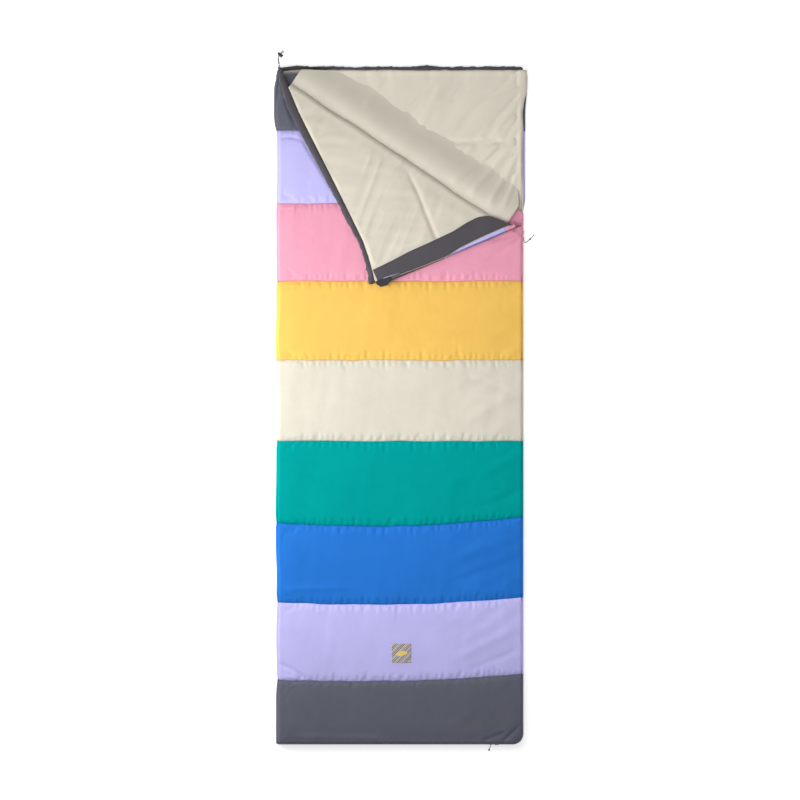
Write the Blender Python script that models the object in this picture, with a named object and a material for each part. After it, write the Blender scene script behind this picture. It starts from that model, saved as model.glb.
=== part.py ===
"""Camp quilt: a rectangular zip-up quilt that lies flat, with its head corner folded back."""

import math

import bmesh
import bpy
from mathutils import Matrix, Vector

# Plan, in metres. X runs across the quilt, with the zip at +X, and Y towards its head.
WIDTH = 0.800
STRIPES = (
    ("charcoal_foot", "charcoal_shell", 0.202),
    ("lilac_foot", "lilac_shell", 0.254),
    ("blue", "blue_shell", 0.260),
    ("green", "green_shell", 0.270),
    ("ecru", "ecru_shell", 0.263),
    ("yellow", "yellow_shell", 0.257),
    ("pink", "pink_shell", 0.253),
    ("lilac_head", "lilac_shell", 0.238),
    ("charcoal_head", "charcoal_shell", 0.203),
)
HEM_WIDTH = 0.020
CORNER_RADIUS = 0.034
CREASE_HEAD_INSET = 0.025
CREASE_SIDE_DROP = 0.515

# Layers, from the ground up.
SHELL = 0.001
PADDING = 0.020
LINING = 0.001
SLEEPING_GAP = 0.008
GAP = 0.0003
FOLD_GAP = 0.0006
CREASE_HALF_GAP = 0.00015
SEAM_THICKNESS = 0.003

# Zip, measured inwards from the quilt's edge.
SHELL_INSET = 0.0030
TAPE_INSET = 0.0038
TAPE_THICKNESS = 0.0008
LINING_INSET = 0.0120
COIL_WIDTH = 0.0026
COIL_HEIGHT = 0.0026
COIL_HALF_GAP = 0.0008
CHAIN_HEAD_MARGIN = 0.029
CHAIN_FOOT_MARGIN = 0.030
CREASE_TAPE_GAP = 0.0045
STOP_LENGTH = 0.005

# Sliders and their pullers.
SLIDER_LENGTH = 0.026
SLIDER_WIDTH = 0.013
SLIDER_WALL = 0.0016
CHANNEL_DEPTH = 0.0056
TAPE_SLOT = 0.0020
LIP = 0.0015
POST_LENGTH = 0.006
POST_THICKNESS = 0.0010
BAIL_LENGTH = 0.012
BAIL_WIDTH = 0.002
BAIL_RISE = 0.0040
PULLER_LENGTH = 0.0135
PULLER_WIDTH = 0.0056
PULLER_THICKNESS = 0.0012
TOP_SLIDER_DROP = 0.535
FOOT_SLIDER_INSET = 0.085
SLIDER_CLEARANCE = 0.004

# Facings, draft tube, patch and closure tab.
FACING_WIDTH = 0.043
DRAFT_TUBE_WIDTH = 0.034
DRAFT_TUBE_HEIGHT = 0.004
DRAFT_TUBE_HEAD_MARGIN = 0.100
EDGE_MARGIN = 0.055
PATCH_SIZE = 0.065
PATCH_THICKNESS = 0.0012
PATCH_RISE = 0.292
TAB_WIDTH = 0.060
TAB_LENGTH = 0.055
TAB_TIP = 0.016
TAB_THICKNESS = 0.0008
LOOP_PATCH_LENGTH = 0.060
LOOP_PATCH_DEPTH = 0.014

# Cords and the cord lock.
CORD_RADIUS = 0.0011
KNOT_RADIUS = 0.0032
LOCK_RADIUS = 0.0056
LOCK_LENGTH = 0.0140
LOCK_BORE = 0.0045
LOCK_FLOOR = 0.0020
BUTTON_RADIUS = 0.0042
BUTTON_TRAVEL = 0.0025
BUTTON_FLOOR_GAP = 0.0046
BUTTON_SHOW = 0.0045
SLOT_WIDTH = 0.0032
SLOT_HEIGHT = 0.0058
STRAND_SPACING = 0.0026
SPRING_RADIUS = 0.0032
SPRING_WIRE = 0.00035
SPRING_TURNS = 4

COLOURS = {
    "charcoal_shell": ((0.105, 0.113, 0.145), 0.62, 0.0),
    "lilac_shell": ((0.50, 0.46, 0.85), 0.55, 0.0),
    "blue_shell": ((0.030, 0.175, 0.560), 0.55, 0.0),
    "green_shell": ((0.002, 0.330, 0.310), 0.55, 0.0),
    "ecru_shell": ((0.72, 0.67, 0.56), 0.60, 0.0),
    "yellow_shell": ((0.86, 0.52, 0.12), 0.55, 0.0),
    "pink_shell": ((0.80, 0.34, 0.45), 0.55, 0.0),
    "lining": ((0.66, 0.60, 0.49), 0.70, 0.0),
    "padding": ((0.85, 0.85, 0.83), 0.90, 0.0),
    "facing": ((0.085, 0.085, 0.105), 0.60, 0.0),
    "zip_tape": ((0.045, 0.045, 0.055), 0.80, 0.0),
    "zip_coil": ((0.030, 0.030, 0.036), 0.35, 0.0),
    "metal": ((0.20, 0.20, 0.21), 0.35, 1.0),
    "cord": ((0.030, 0.030, 0.034), 0.70, 0.0),
    "patch": ((0.10, 0.10, 0.20), 0.70, 0.0),
    "hook_pad": ((0.02, 0.02, 0.022), 0.90, 0.0),
    "lock_plastic": ((0.025, 0.025, 0.028), 0.40, 0.0),
}

LENGTH = sum(stripe[2] for stripe in STRIPES)
LEFT, RIGHT = -WIDTH / 2, WIDTH / 2
FOOT, HEAD = -LENGTH / 2, LENGTH / 2
LAYER = SHELL + PADDING + LINING + 2 * GAP
FRONT_BASE = LAYER + SLEEPING_GAP
FRONT_TOP = FRONT_BASE + LAYER
CHAIN_Z = LAYER + SLEEPING_GAP / 2
CREASE_Z = FRONT_TOP + FOLD_GAP / 2
SLAB_LEFT = LEFT + SEAM_THICKNESS / 2 + GAP
CREASE_HEAD = Vector((LEFT + CREASE_HEAD_INSET, HEAD, 0))
CREASE_SIDE = Vector((RIGHT, HEAD - CREASE_SIDE_DROP, 0))
CREASE_ALONG = (CREASE_SIDE - CREASE_HEAD).normalized()
CREASE_OUT = Vector((-CREASE_ALONG.y, CREASE_ALONG.x, 0))


def clear_scene():
    for item in list(bpy.data.objects):
        bpy.data.objects.remove(item, do_unlink=True)


def new_collection(name):
    collection = bpy.data.collections.new(name)
    bpy.context.scene.collection.children.link(collection)
    return collection


def material(name):
    made = bpy.data.materials.get(name)
    if made:
        return made
    made = bpy.data.materials.new(name)
    made.use_nodes = True
    colour, roughness, metallic = COLOURS[name]
    shader = made.node_tree.nodes["Principled BSDF"]
    shader.inputs["Base Color"].default_value = (*colour, 1)
    shader.inputs["Roughness"].default_value = roughness
    shader.inputs["Metallic"].default_value = metallic
    made.diffuse_color = (*colour, 1)
    return made


def add(name, data, finish, parent=None, place=None):
    """Puts a mesh or curve in the collection, and hangs it on its parent without moving it."""
    item = bpy.data.objects.new(name, data)
    parts.objects.link(item)
    if finish not in [slot.name for slot in data.materials if slot]:
        data.materials.append(material(finish))
    item.matrix_world = place or Matrix.Identity(4)
    hang(item, parent)
    return item


def hang(item, parent):
    if parent:
        item.parent = parent
        item.matrix_parent_inverse = parent.matrix_world.inverted()


def axis_empty(name, place, parent=None):
    """An empty on a joint's axis, which carries the pieces that the joint moves."""
    empty = bpy.data.objects.new(name, None)
    parts.objects.link(empty)
    empty.matrix_world = place
    hang(empty, parent)
    bpy.context.view_layer.update()
    return empty


def slab(name, outline, low, high, finish, parent=None):
    """A flat piece: its outline in plan, extruded between two heights."""
    centre = sum((Vector(p) for p in outline), Vector((0, 0))) / len(outline)
    curve = bpy.data.curves.new(name, "CURVE")
    curve.dimensions = "2D"
    curve.fill_mode = "BOTH"
    curve.extrude = (high - low) / 2
    spline = curve.splines.new("POLY")
    spline.points.add(len(outline) - 1)
    for point, corner in zip(spline.points, outline):
        point.co = (corner[0] - centre.x, corner[1] - centre.y, 0, 1)
    spline.use_cyclic_u = True
    place = Matrix.Translation((centre.x, centre.y, (low + high) / 2))
    return add(name, curve, finish, parent, place)


def edge_path(inset, start_y, end_x):
    """Points down the zip side, round the foot corner and along the foot, at one inset."""
    centre = Vector((RIGHT - CORNER_RADIUS, FOOT + CORNER_RADIUS))
    radius = CORNER_RADIUS - inset
    steps = 8
    path = [(RIGHT - inset, start_y)]
    for step in range(steps + 1):
        angle = -math.pi / 2 * step / steps
        path.append((centre.x + radius * math.cos(angle), centre.y + radius * math.sin(angle)))
    path.append((end_x, FOOT + inset))
    return path


def strip_outline(outer_inset, inner_inset, start_y, end_x):
    outer = edge_path(outer_inset, start_y, end_x)
    return outer + edge_path(inner_inset, start_y, end_x)[::-1]


def plan(inset, low, high):
    """The quilt's plan between two heights on the page, with its foot corner rounded."""
    if low > FOOT + CORNER_RADIUS:
        corner = [(RIGHT - inset, low)]
    else:
        corner = edge_path(inset, high, SLAB_LEFT)[1:-1]
    base = max(low, FOOT + inset)
    return [(RIGHT - inset, high)] + corner + [(SLAB_LEFT, base), (SLAB_LEFT, high)]


def clip(outline, keep_out):
    """Keeps what lies outside the crease, or inside it, clear of the crease by its gap."""
    side = 1 if keep_out else -1
    kept = []
    for here, after in zip(outline, outline[1:] + outline[:1]):
        a = side * (Vector((*here, 0)) - CREASE_HEAD).dot(CREASE_OUT) - CREASE_HALF_GAP
        b = side * (Vector((*after, 0)) - CREASE_HEAD).dot(CREASE_OUT) - CREASE_HALF_GAP
        if a >= 0:
            kept.append(here)
        if a * b < 0:
            share = a / (a - b)
            kept.append(tuple(p + share * (q - p) for p, q in zip(here, after)))
    return kept


def box_mesh(low, high):
    size = Vector(high) - Vector(low)
    middle = (Vector(high) + Vector(low)) / 2
    shape = bmesh.new()
    bmesh.ops.create_cube(shape, size=1, matrix=Matrix.Translation(middle) @ Matrix.Diagonal((*size, 1)))
    return finished(shape)


def rod_mesh(radius, low, high, axis="Z", segments=32):
    """A round bar along one axis, from low to high on it."""
    turn = {"X": Matrix.Rotation(math.pi / 2, 4, "Y"), "Y": Matrix.Rotation(-math.pi / 2, 4, "X")}
    shift = Matrix.Translation((0, 0, (low + high) / 2))
    shape = bmesh.new()
    bmesh.ops.create_cone(
        shape,
        cap_ends=True,
        segments=segments,
        radius1=radius,
        radius2=radius,
        depth=high - low,
        matrix=turn.get(axis, Matrix.Identity(4)) @ shift,
    )
    return finished(shape)


def finished(shape):
    mesh = bpy.data.meshes.new("shape")
    shape.to_mesh(mesh)
    shape.free()
    return mesh


def combined(base, steps):
    """A mesh made by joining boxes and rods to a base, or cutting them from it, in order."""
    body = bpy.data.objects.new("combined_body", base)
    cutters.objects.link(body)
    helpers = [body]
    for operation, mesh in steps:
        helper = bpy.data.objects.new("helper", mesh)
        cutters.objects.link(helper)
        helpers.append(helper)
        modifier = body.modifiers.new(operation, "BOOLEAN")
        modifier.operation = operation
        modifier.object = helper
    bpy.context.view_layer.update()
    graph = bpy.context.evaluated_depsgraph_get()
    result = bpy.data.meshes.new_from_object(body.evaluated_get(graph))
    for helper in helpers:
        bpy.data.objects.remove(helper, do_unlink=True)
    result.set_sharp_from_angle(angle=math.radians(35))
    return result


def catmull(points, count):
    """Evenly numbered points on a smooth curve through the route's own points."""
    ends = [2 * points[0] - points[1]] + points + [2 * points[-1] - points[-2]]
    spans = len(points) - 1
    made = []
    for step in range(count):
        along = spans * step / (count - 1)
        span = min(int(along), spans - 1)
        t = along - span
        p, q, r, s = ends[span : span + 4]
        made.append(
            0.5 * (2 * q + (r - p) * t + (2 * p - 5 * q + 4 * r - s) * t**2 + (3 * q - p - 3 * r + s) * t**3)
        )
    return made


def cord(name, route, count, parent):
    points = catmull([Vector(p) for p in route], count)
    curve = bpy.data.curves.new(name, "CURVE")
    curve.dimensions = "3D"
    curve.bevel_depth = CORD_RADIUS
    curve.bevel_resolution = 2
    curve.use_fill_caps = True
    spline = curve.splines.new("POLY")
    spline.points.add(count - 1)
    for point, place in zip(spline.points, points):
        point.co = (*place, 1)
    return add(name, curve, "cord", parent)


def knot(name, centre, parent):
    shape = bmesh.new()
    bmesh.ops.create_uvsphere(shape, u_segments=16, v_segments=10, radius=KNOT_RADIUS)
    mesh = finished(shape)
    mesh.shade_smooth()
    return add(name, mesh, "cord", parent, Matrix.Translation(centre))


def stripe_spans():
    low = FOOT
    for name, finish, length in STRIPES:
        yield name, finish, low, low + length
        low += length


def make_back():
    for name, finish, low, high in stripe_spans():
        top = min(high, HEAD - HEM_WIDTH) - GAP
        slab(f"back_panel_{name}", plan(SHELL_INSET, low, top), 0, SHELL, finish)
    head = HEAD - HEM_WIDTH - GAP
    padding_low = SHELL + GAP
    padding_high = padding_low + PADDING
    slab("back_padding", plan(LINING_INSET, FOOT, head), padding_low, padding_high, "padding")
    slab("back_lining", plan(LINING_INSET, FOOT, head), padding_high + GAP, LAYER, "lining")
    slab("back_head_hem", plan(LINING_INSET, HEAD - HEM_WIDTH, HEAD), 0, LAYER, "facing")
    seam = [
        (LEFT + SEAM_THICKNESS / 2, FOOT + SHELL_INSET),
        (LEFT + SEAM_THICKNESS / 2, HEAD),
        (LEFT - SEAM_THICKNESS / 2, HEAD),
        (LEFT - SEAM_THICKNESS / 2, FOOT + SHELL_INSET),
    ]
    seam_top = CHAIN_Z + SLEEPING_GAP / 2 - SEAM_THICKNESS / 8
    slab("side_seam", seam, 0, seam_top, "charcoal_shell")
    tube_right = RIGHT - LINING_INSET
    tube_left = tube_right - DRAFT_TUBE_WIDTH
    tube = [
        (tube_left, FOOT + EDGE_MARGIN),
        (tube_right, FOOT + EDGE_MARGIN),
        (tube_right, HEAD - DRAFT_TUBE_HEAD_MARGIN),
        (tube_left, HEAD - DRAFT_TUBE_HEAD_MARGIN),
    ]
    slab("draft_tube", tube, LAYER + GAP, LAYER + GAP + DRAFT_TUBE_HEIGHT, "lining")


def tape_strip(start_y, end_x):
    return strip_outline(TAPE_INSET - TAPE_THICKNESS / 2, TAPE_INSET + TAPE_THICKNESS / 2, start_y, end_x)


def coil_strip(start_y, end_x):
    return strip_outline(TAPE_INSET - COIL_WIDTH / 2, TAPE_INSET + COIL_WIDTH / 2, start_y, end_x)


def straight(outline_inset, half, low, high):
    """A straight strip up the zip side, between two places on it."""
    x = RIGHT - outline_inset
    return [(x - half, low), (x + half, low), (x + half, high), (x - half, high)]


def along_foot(outline_inset, half, low, high):
    y = FOOT + outline_inset
    return [(low, y - half), (high, y - half), (high, y + half), (low, y + half)]


def make_back_zip():
    coil_high = CHAIN_Z - COIL_HALF_GAP
    coil_low = coil_high - COIL_HEIGHT
    head = HEAD - CHAIN_HEAD_MARGIN
    left = LEFT + CHAIN_FOOT_MARGIN
    slab("back_zip_tape", tape_strip(head, left), SHELL + GAP, coil_low - GAP, "zip_tape")
    slab("back_zip_coil", coil_strip(head, left), coil_low, coil_high, "zip_coil")
    stop = straight(TAPE_INSET, COIL_WIDTH / 2, head + GAP, head + GAP + STOP_LENGTH)
    slab("zip_head_stop", stop, coil_low, coil_high, "metal")
    box = along_foot(TAPE_INSET, COIL_WIDTH / 2, left - GAP - STOP_LENGTH, left - GAP)
    slab("zip_foot_box", box, coil_low, coil_high + 2 * COIL_HALF_GAP, "metal")
    outer = TAPE_INSET - TAPE_THICKNESS / 2 - GAP
    half = TAPE_THICKNESS / 2
    patch_high = head - STOP_LENGTH
    patch = straight(outer - half, half, patch_high - LOOP_PATCH_LENGTH, patch_high)
    patch_low = (LAYER - LOOP_PATCH_DEPTH) / 2
    slab("loop_patch", patch, patch_low, patch_low + LOOP_PATCH_DEPTH, "hook_pad")


def layered(prefix, keep_out, parent):
    """The shell stripes, padding and lining of the front, on one side of the crease."""
    head = HEAD - HEM_WIDTH - GAP if keep_out else HEAD - GAP
    shell_low = FRONT_TOP - SHELL
    for name, finish, low, high in stripe_spans():
        outline = clip(plan(SHELL_INSET, low, min(high - GAP, head)), keep_out)
        if outline:
            slab(f"{prefix}_panel_{name}", outline, shell_low, FRONT_TOP, finish, parent)
    inner = clip(plan(LINING_INSET, FOOT, head), keep_out)
    padding_low = FRONT_BASE + LINING + GAP
    slab(f"{prefix}_padding", inner, padding_low, padding_low + PADDING, "padding", parent)
    slab(f"{prefix}_lining", inner, FRONT_BASE, FRONT_BASE + LINING, "lining", parent)


def crease_y(x):
    """How far up the page the crease is, at one distance across."""
    return CREASE_HEAD.y + (x - CREASE_HEAD.x) * CREASE_ALONG.y / CREASE_ALONG.x


def facing_outline(low, high):
    right = RIGHT - LINING_INSET
    return [(right - FACING_WIDTH, low), (right, low), (right, high), (right - FACING_WIDTH, high)]


def make_front(parent):
    layered("front", False, parent)
    coil_low = CHAIN_Z + COIL_HALF_GAP
    coil_high = coil_low + COIL_HEIGHT
    tape_high = FRONT_TOP - SHELL - GAP
    left = LEFT + CHAIN_FOOT_MARGIN
    tape_end = crease_y(RIGHT - TAPE_INSET) - CREASE_TAPE_GAP
    slab("front_zip_tape", tape_strip(tape_end, left), coil_high + GAP, tape_high, "zip_tape", parent)
    slider_half = SLIDER_LENGTH / 2 + SLIDER_CLEARANCE
    foot_slider = RIGHT - FOOT_SLIDER_INSET
    side_end = HEAD - TOP_SLIDER_DROP - slider_half
    side = coil_strip(side_end, foot_slider + slider_half)
    slab("front_zip_coil_side", side, coil_low, coil_high, "zip_coil", parent)
    foot = along_foot(TAPE_INSET, COIL_WIDTH / 2, left, foot_slider - slider_half)
    slab("front_zip_coil_foot", foot, coil_low, coil_high, "zip_coil", parent)
    facing = clip(facing_outline(FOOT + EDGE_MARGIN, HEAD), False)
    slab("front_facing", facing, FRONT_BASE - GAP - SHELL, FRONT_BASE - GAP, "facing", parent)
    half = PATCH_SIZE / 2
    low, high = FOOT + PATCH_RISE - half, FOOT + PATCH_RISE + half
    patch = [(-half, low), (half, low), (half, high), (-half, high)]
    patch_low = FRONT_TOP + GAP
    slab("patch", patch, patch_low, patch_low + PATCH_THICKNESS, "patch", parent)


def make_flap(parent):
    """The folded corner, made where it lies when it is closed."""
    layered("flap", True, parent)
    hem = clip(plan(LINING_INSET, HEAD - HEM_WIDTH, HEAD), True)
    slab("flap_head_hem", hem, FRONT_BASE, FRONT_TOP, "facing", parent)
    coil_low = CHAIN_Z + COIL_HALF_GAP
    coil_high = coil_low + COIL_HEIGHT
    start = crease_y(RIGHT - TAPE_INSET) + CREASE_TAPE_GAP
    head = HEAD - CHAIN_HEAD_MARGIN
    tape = straight(TAPE_INSET, TAPE_THICKNESS / 2, start, head)
    slab("flap_zip_tape", tape, coil_high + GAP, FRONT_TOP - SHELL - GAP, "zip_tape", parent)
    coil = straight(TAPE_INSET, COIL_WIDTH / 2, start, head)
    slab("flap_zip_coil", coil, coil_low, coil_high, "zip_coil", parent)
    facing = clip(facing_outline(FOOT, HEAD - HEM_WIDTH), True)
    slab("flap_facing", facing, FRONT_BASE - GAP - SHELL, FRONT_BASE - GAP, "facing", parent)


def tab_pivot():
    """The middle of the closure tab's fold, on the hem's inner edge, when the flap is closed."""
    across = RIGHT - LINING_INSET - TAB_WIDTH / 2
    height = FRONT_BASE - SHELL - 2 * GAP - TAB_THICKNESS - GAP / 2
    return Vector((across, HEAD - HEM_WIDTH, height))


def make_tab(parent):
    pivot = tab_pivot()
    half = TAB_WIDTH / 2
    near = pivot.y - GAP
    far = near - TAB_LENGTH
    left, right = pivot.x - half, pivot.x + half
    outline = [(right, near), (left, near), (right - TAB_TIP, far), (right, far)]
    low = pivot.z + GAP / 2
    slab("closure_tab", outline, low, low + TAB_THICKNESS, "facing", parent)
    pad_high = pivot.z - GAP / 2
    centre = sum((Vector(p) for p in outline), Vector((0, 0))) / len(outline)
    pad = [tuple(centre + (Vector(p) - centre) * 0.8) for p in outline]
    slab("tab_hook_pad", pad, pad_high - TAB_THICKNESS, pad_high, "hook_pad", parent)


def slider_mesh():
    """A zip slider: two plates joined by a post, with lips that hold the tapes, and a bail."""
    half_long = SLIDER_LENGTH / 2
    half_wide = SLIDER_WIDTH / 2
    inside = CHANNEL_DEPTH / 2
    outside = inside + SLIDER_WALL
    overlap = SLIDER_WALL / 4
    steps = [("UNION", box_mesh((-outside, -half_long, -half_wide), (-inside, half_long, half_wide)))]
    for out in (-1, 1):
        for up in (-1, 1):
            xs = sorted((out * TAPE_SLOT / 2, out * (inside + overlap)))
            zs = sorted((up * (half_wide - LIP), up * half_wide))
            steps.append(("UNION", box_mesh((xs[0], -half_long, zs[0]), (xs[1], half_long, zs[1]))))
    post_low = half_long - 2 * POST_LENGTH
    post = box_mesh(
        (-inside - overlap, post_low, -POST_THICKNESS / 2),
        (inside + overlap, post_low + POST_LENGTH, POST_THICKNESS / 2),
    )
    steps.append(("UNION", post))
    bail_half = BAIL_LENGTH / 2
    bail = box_mesh(
        (outside - overlap, -bail_half, -BAIL_WIDTH / 2),
        (outside + BAIL_RISE, bail_half, BAIL_WIDTH / 2),
    )
    steps.append(("UNION", bail))
    window = box_mesh(
        (outside, -bail_half + SLIDER_WALL, -BAIL_WIDTH),
        (outside + BAIL_RISE - SLIDER_WALL, bail_half - SLIDER_WALL, BAIL_WIDTH),
    )
    steps.append(("DIFFERENCE", window))
    outer_plate = box_mesh((inside, -half_long, -half_wide), (outside, half_long, half_wide))
    return combined(outer_plate, steps)


def pivot_rise():
    """How far the puller's crossbar stands out from the tape, in the middle of the bail's window."""
    return CHANNEL_DEPTH / 2 + SLIDER_WALL + (BAIL_RISE - SLIDER_WALL) / 2


def puller_mesh():
    """A puller about its crossbar: two arms beside the bail, and a plate beyond it."""
    half = PULLER_WIDTH / 2
    thick = PULLER_THICKNESS / 2
    plate_start = -BAIL_LENGTH / 2 - BAIL_WIDTH / 2
    arm_inner = BAIL_WIDTH / 2 + 2 * GAP
    steps = []
    for up in (-1, 1):
        zs = sorted((up * arm_inner, up * half))
        steps.append(("UNION", box_mesh((-thick, plate_start - thick, zs[0]), (thick, thick, zs[1]))))
    steps.append(("UNION", rod_mesh(thick * 0.9, -half + thick, half - thick, segments=16)))
    plate = box_mesh((-thick, -PULLER_LENGTH, -half), (thick, plate_start, half))
    return combined(plate, steps)


def make_slider(prefix, place, slider, puller, back):
    """A slider on its own empty, with its puller on the bail. Local Y runs along the zip."""
    run = axis_empty(f"{prefix}_slide", place, back)
    add(f"{prefix}_slider", slider, "metal", run, place)
    pivot_place = place @ Matrix.Translation((pivot_rise(), 0, 0))
    pivot = axis_empty(f"{prefix}_puller_pivot", pivot_place, run)
    add(f"{prefix}_puller", puller, "metal", pivot, pivot_place)
    return pivot, pivot_place @ Vector((0, -PULLER_LENGTH - GAP, 0))


TOP_CORD_FROM_PULLER = (
    (0.0000, 0.0000, 0.0000),
    (0.0006, -0.0030, -0.0012),
    (0.0024, -0.0072, -0.0078),
    (0.0030, -0.0108, -0.0165),
    (0.0036, -0.0142, -0.0232),
    (0.0060, -0.0172, -0.0254),
    (0.0105, -0.0165, -0.0254),
    (0.0155, -0.0128, -0.0254),
    (0.0205, -0.0084, -0.0254),
)
TOP_CORD_TAIL = ((0.0000, 0.0000), (0.0038, 0.0040), (0.0074, 0.0086), (0.0104, 0.0138))
FOOT_CORD_FROM_PULLER = (
    (0.0000, 0.0000, 0.0000),
    (-0.0030, -0.0010, -0.0012),
    (-0.0062, -0.0030, -0.0080),
    (-0.0070, -0.0058, -0.0170),
    (-0.0064, -0.0092, -0.0236),
    (-0.0070, -0.0135, -0.0254),
    (-0.0088, -0.0178, -0.0254),
)


def make_pull_cord(prefix, start, route, tail, parent):
    """A pull cord from the puller's end down to the ground, with a knot, and a tail past it."""
    points = [start + Vector(p) for p in route]
    cord(f"{prefix}_pull_cord", points, 22, parent)
    run = (points[-1] - points[-2]).normalized()
    reach = run * (KNOT_RADIUS + GAP)
    knot_middle = points[-1] + reach
    knot(f"{prefix}_cord_knot", Vector((*knot_middle.xy, KNOT_RADIUS)), parent)
    if tail:
        leave = knot_middle + reach
        cord(f"{prefix}_cord_tail", [leave + Vector((*p, 0)) for p in tail], 7, parent)


def lock_mesh():
    """The barrel: a cup along +Y, with a slot along X for two strands of cord."""
    slot = box_mesh(
        (-2 * LOCK_RADIUS, slot_middle() - SLOT_WIDTH / 2, -SLOT_HEIGHT / 2),
        (2 * LOCK_RADIUS, slot_middle() + SLOT_WIDTH / 2, SLOT_HEIGHT / 2),
    )
    half = LOCK_LENGTH / 2
    bore = rod_mesh(LOCK_BORE, -half + LOCK_FLOOR, LOCK_LENGTH, axis="Y")
    barrel = rod_mesh(LOCK_RADIUS, -half, half, axis="Y")
    return combined(barrel, [("DIFFERENCE", bore), ("DIFFERENCE", slot)])


def slot_middle():
    """Where the strands cross the barrel: just above the spring's room."""
    return -LOCK_LENGTH / 2 + LOCK_FLOOR + BUTTON_FLOOR_GAP + LIP + SLOT_WIDTH / 2


def button_mesh():
    """The button, with a slot long enough for its travel; the strands sit at the slot's low end."""
    low = -LOCK_LENGTH / 2 + LOCK_FLOOR + BUTTON_FLOOR_GAP
    high = LOCK_LENGTH / 2 + BUTTON_SHOW
    slot_low = slot_middle() - SLOT_WIDTH / 2
    slot = box_mesh(
        (-2 * LOCK_RADIUS, slot_low, -SLOT_HEIGHT / 2),
        (2 * LOCK_RADIUS, slot_low + SLOT_WIDTH + BUTTON_TRAVEL, SLOT_HEIGHT / 2),
    )
    return combined(rod_mesh(BUTTON_RADIUS, low, high, axis="Y"), [("DIFFERENCE", slot)])


def spring_curve():
    low = -LOCK_LENGTH / 2 + LOCK_FLOOR + SPRING_WIRE + GAP
    high = -LOCK_LENGTH / 2 + LOCK_FLOOR + BUTTON_FLOOR_GAP - SPRING_WIRE - GAP
    steps = 12 * SPRING_TURNS
    curve = bpy.data.curves.new("lock_spring", "CURVE")
    curve.dimensions = "3D"
    curve.bevel_depth = SPRING_WIRE
    curve.bevel_resolution = 1
    curve.use_fill_caps = True
    spline = curve.splines.new("POLY")
    spline.points.add(steps)
    for step, point in enumerate(spline.points):
        angle = 2 * math.pi * step / 12
        y = low + (high - low) * step / steps
        point.co = (SPRING_RADIUS * math.cos(angle), y, SPRING_RADIUS * math.sin(angle), 1)
    return curve


LOCK_PLACE = (0.0105, 0.0450)
LOCK_TURN = math.radians(50)
DRAWCORD_OUT = (
    (0.0016, 0.0016, 0.0110),
    (0.0040, 0.0090, 0.0080),
    (0.0056, 0.0190, 0.0062),
    (0.0040, 0.0300, 0.0066),
)
DRAWCORD_BACK = (
    (0.0012, 0.0300, 0.0030),
    (0.0030, 0.0200, 0.0014),
    (0.0074, 0.0100, 0.0040),
    (0.0104, 0.0016, 0.0110),
)
STRAND_RUN = 0.0090
LOOP_REACH = 0.0075


def make_drawcord(back):
    """The hem's drawcord: out through its lock, round a small loop, and back into the hem."""
    corner = Vector((LEFT, HEAD, 0))
    centre = corner + Vector((*LOCK_PLACE, LOCK_RADIUS))
    place = Matrix.Translation(centre) @ Matrix.Rotation(LOCK_TURN, 4, "Z")
    upper = STRAND_SPACING / 2
    slot = slot_middle()

    def strand(along, across, up):
        return place @ Vector((along, slot + across, up))

    route = [corner + Vector(p) for p in DRAWCORD_OUT]
    route += [strand(-STRAND_RUN, 0, upper), strand(-STRAND_RUN / 2, 0, upper), strand(0, 0, upper)]
    route += [strand(STRAND_RUN / 2, 0, upper), strand(STRAND_RUN, 0, upper)]
    route += [
        strand(STRAND_RUN + LOOP_REACH / 2, 0.0028, 0.0004),
        strand(STRAND_RUN + LOOP_REACH, 0.0004, -0.0020),
        strand(STRAND_RUN + LOOP_REACH / 2, -0.0026, -0.0028),
    ]
    route += [strand(STRAND_RUN, 0, -upper), strand(STRAND_RUN / 2, 0, -upper), strand(0, 0, -upper)]
    route += [strand(-STRAND_RUN / 2, 0, -upper), strand(-STRAND_RUN, 0, -upper)]
    route += [corner + Vector(p) for p in DRAWCORD_BACK]
    cord("drawcord", route, 64, back)
    lock = axis_empty("cord_lock_slide", place, back)
    add("lock_barrel", lock_mesh(), "lock_plastic", lock, place)
    add("lock_spring", spring_curve(), "metal", lock, place)
    button = axis_empty("lock_button_press", place, lock)
    add("lock_button", button_mesh(), "lock_plastic", button, place)


def build():
    back = axis_empty("back_quilt", Matrix.Identity(4))
    make_back()
    make_back_zip()
    for item in list(parts.objects):
        if item is not back and not item.parent:
            hang(item, back)
    front = axis_empty("front_hinge", Matrix.Translation((LEFT, 0, CHAIN_Z)), back)
    make_front(front)
    crease_place = Matrix.Translation((*CREASE_HEAD.xy, CREASE_Z))
    flap = axis_empty("crease_hinge", crease_place, front)
    make_flap(flap)
    tab = axis_empty("tab_hinge", Matrix.Translation(tab_pivot()), flap)
    make_tab(tab)
    flap.matrix_world = crease_place @ Matrix.Rotation(math.pi, 4, CREASE_ALONG)
    slider, puller = slider_mesh(), puller_mesh()
    top_place = Matrix.Translation((RIGHT - TAPE_INSET, HEAD - TOP_SLIDER_DROP, CHAIN_Z))
    top, top_end = make_slider("top", top_place, slider, puller, back)
    make_pull_cord("top", top_end, TOP_CORD_FROM_PULLER, TOP_CORD_TAIL, top)
    foot_place = Matrix.Translation((RIGHT - FOOT_SLIDER_INSET, FOOT + TAPE_INSET, CHAIN_Z))
    foot_place = foot_place @ Matrix.Rotation(-math.pi / 2, 4, "Z")
    foot, foot_end = make_slider("foot", foot_place, slider, puller, back)
    make_pull_cord("foot", foot_end, FOOT_CORD_FROM_PULLER, (), foot)
    make_drawcord(back)


clear_scene()
parts = new_collection("camp_quilt")
cutters = new_collection("cutters")
build()
bpy.context.view_layer.update()
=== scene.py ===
import math
import bmesh
import bpy
import numpy as np
from mathutils import Matrix, Vector
from mathutils.kdtree import KDTree


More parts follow.
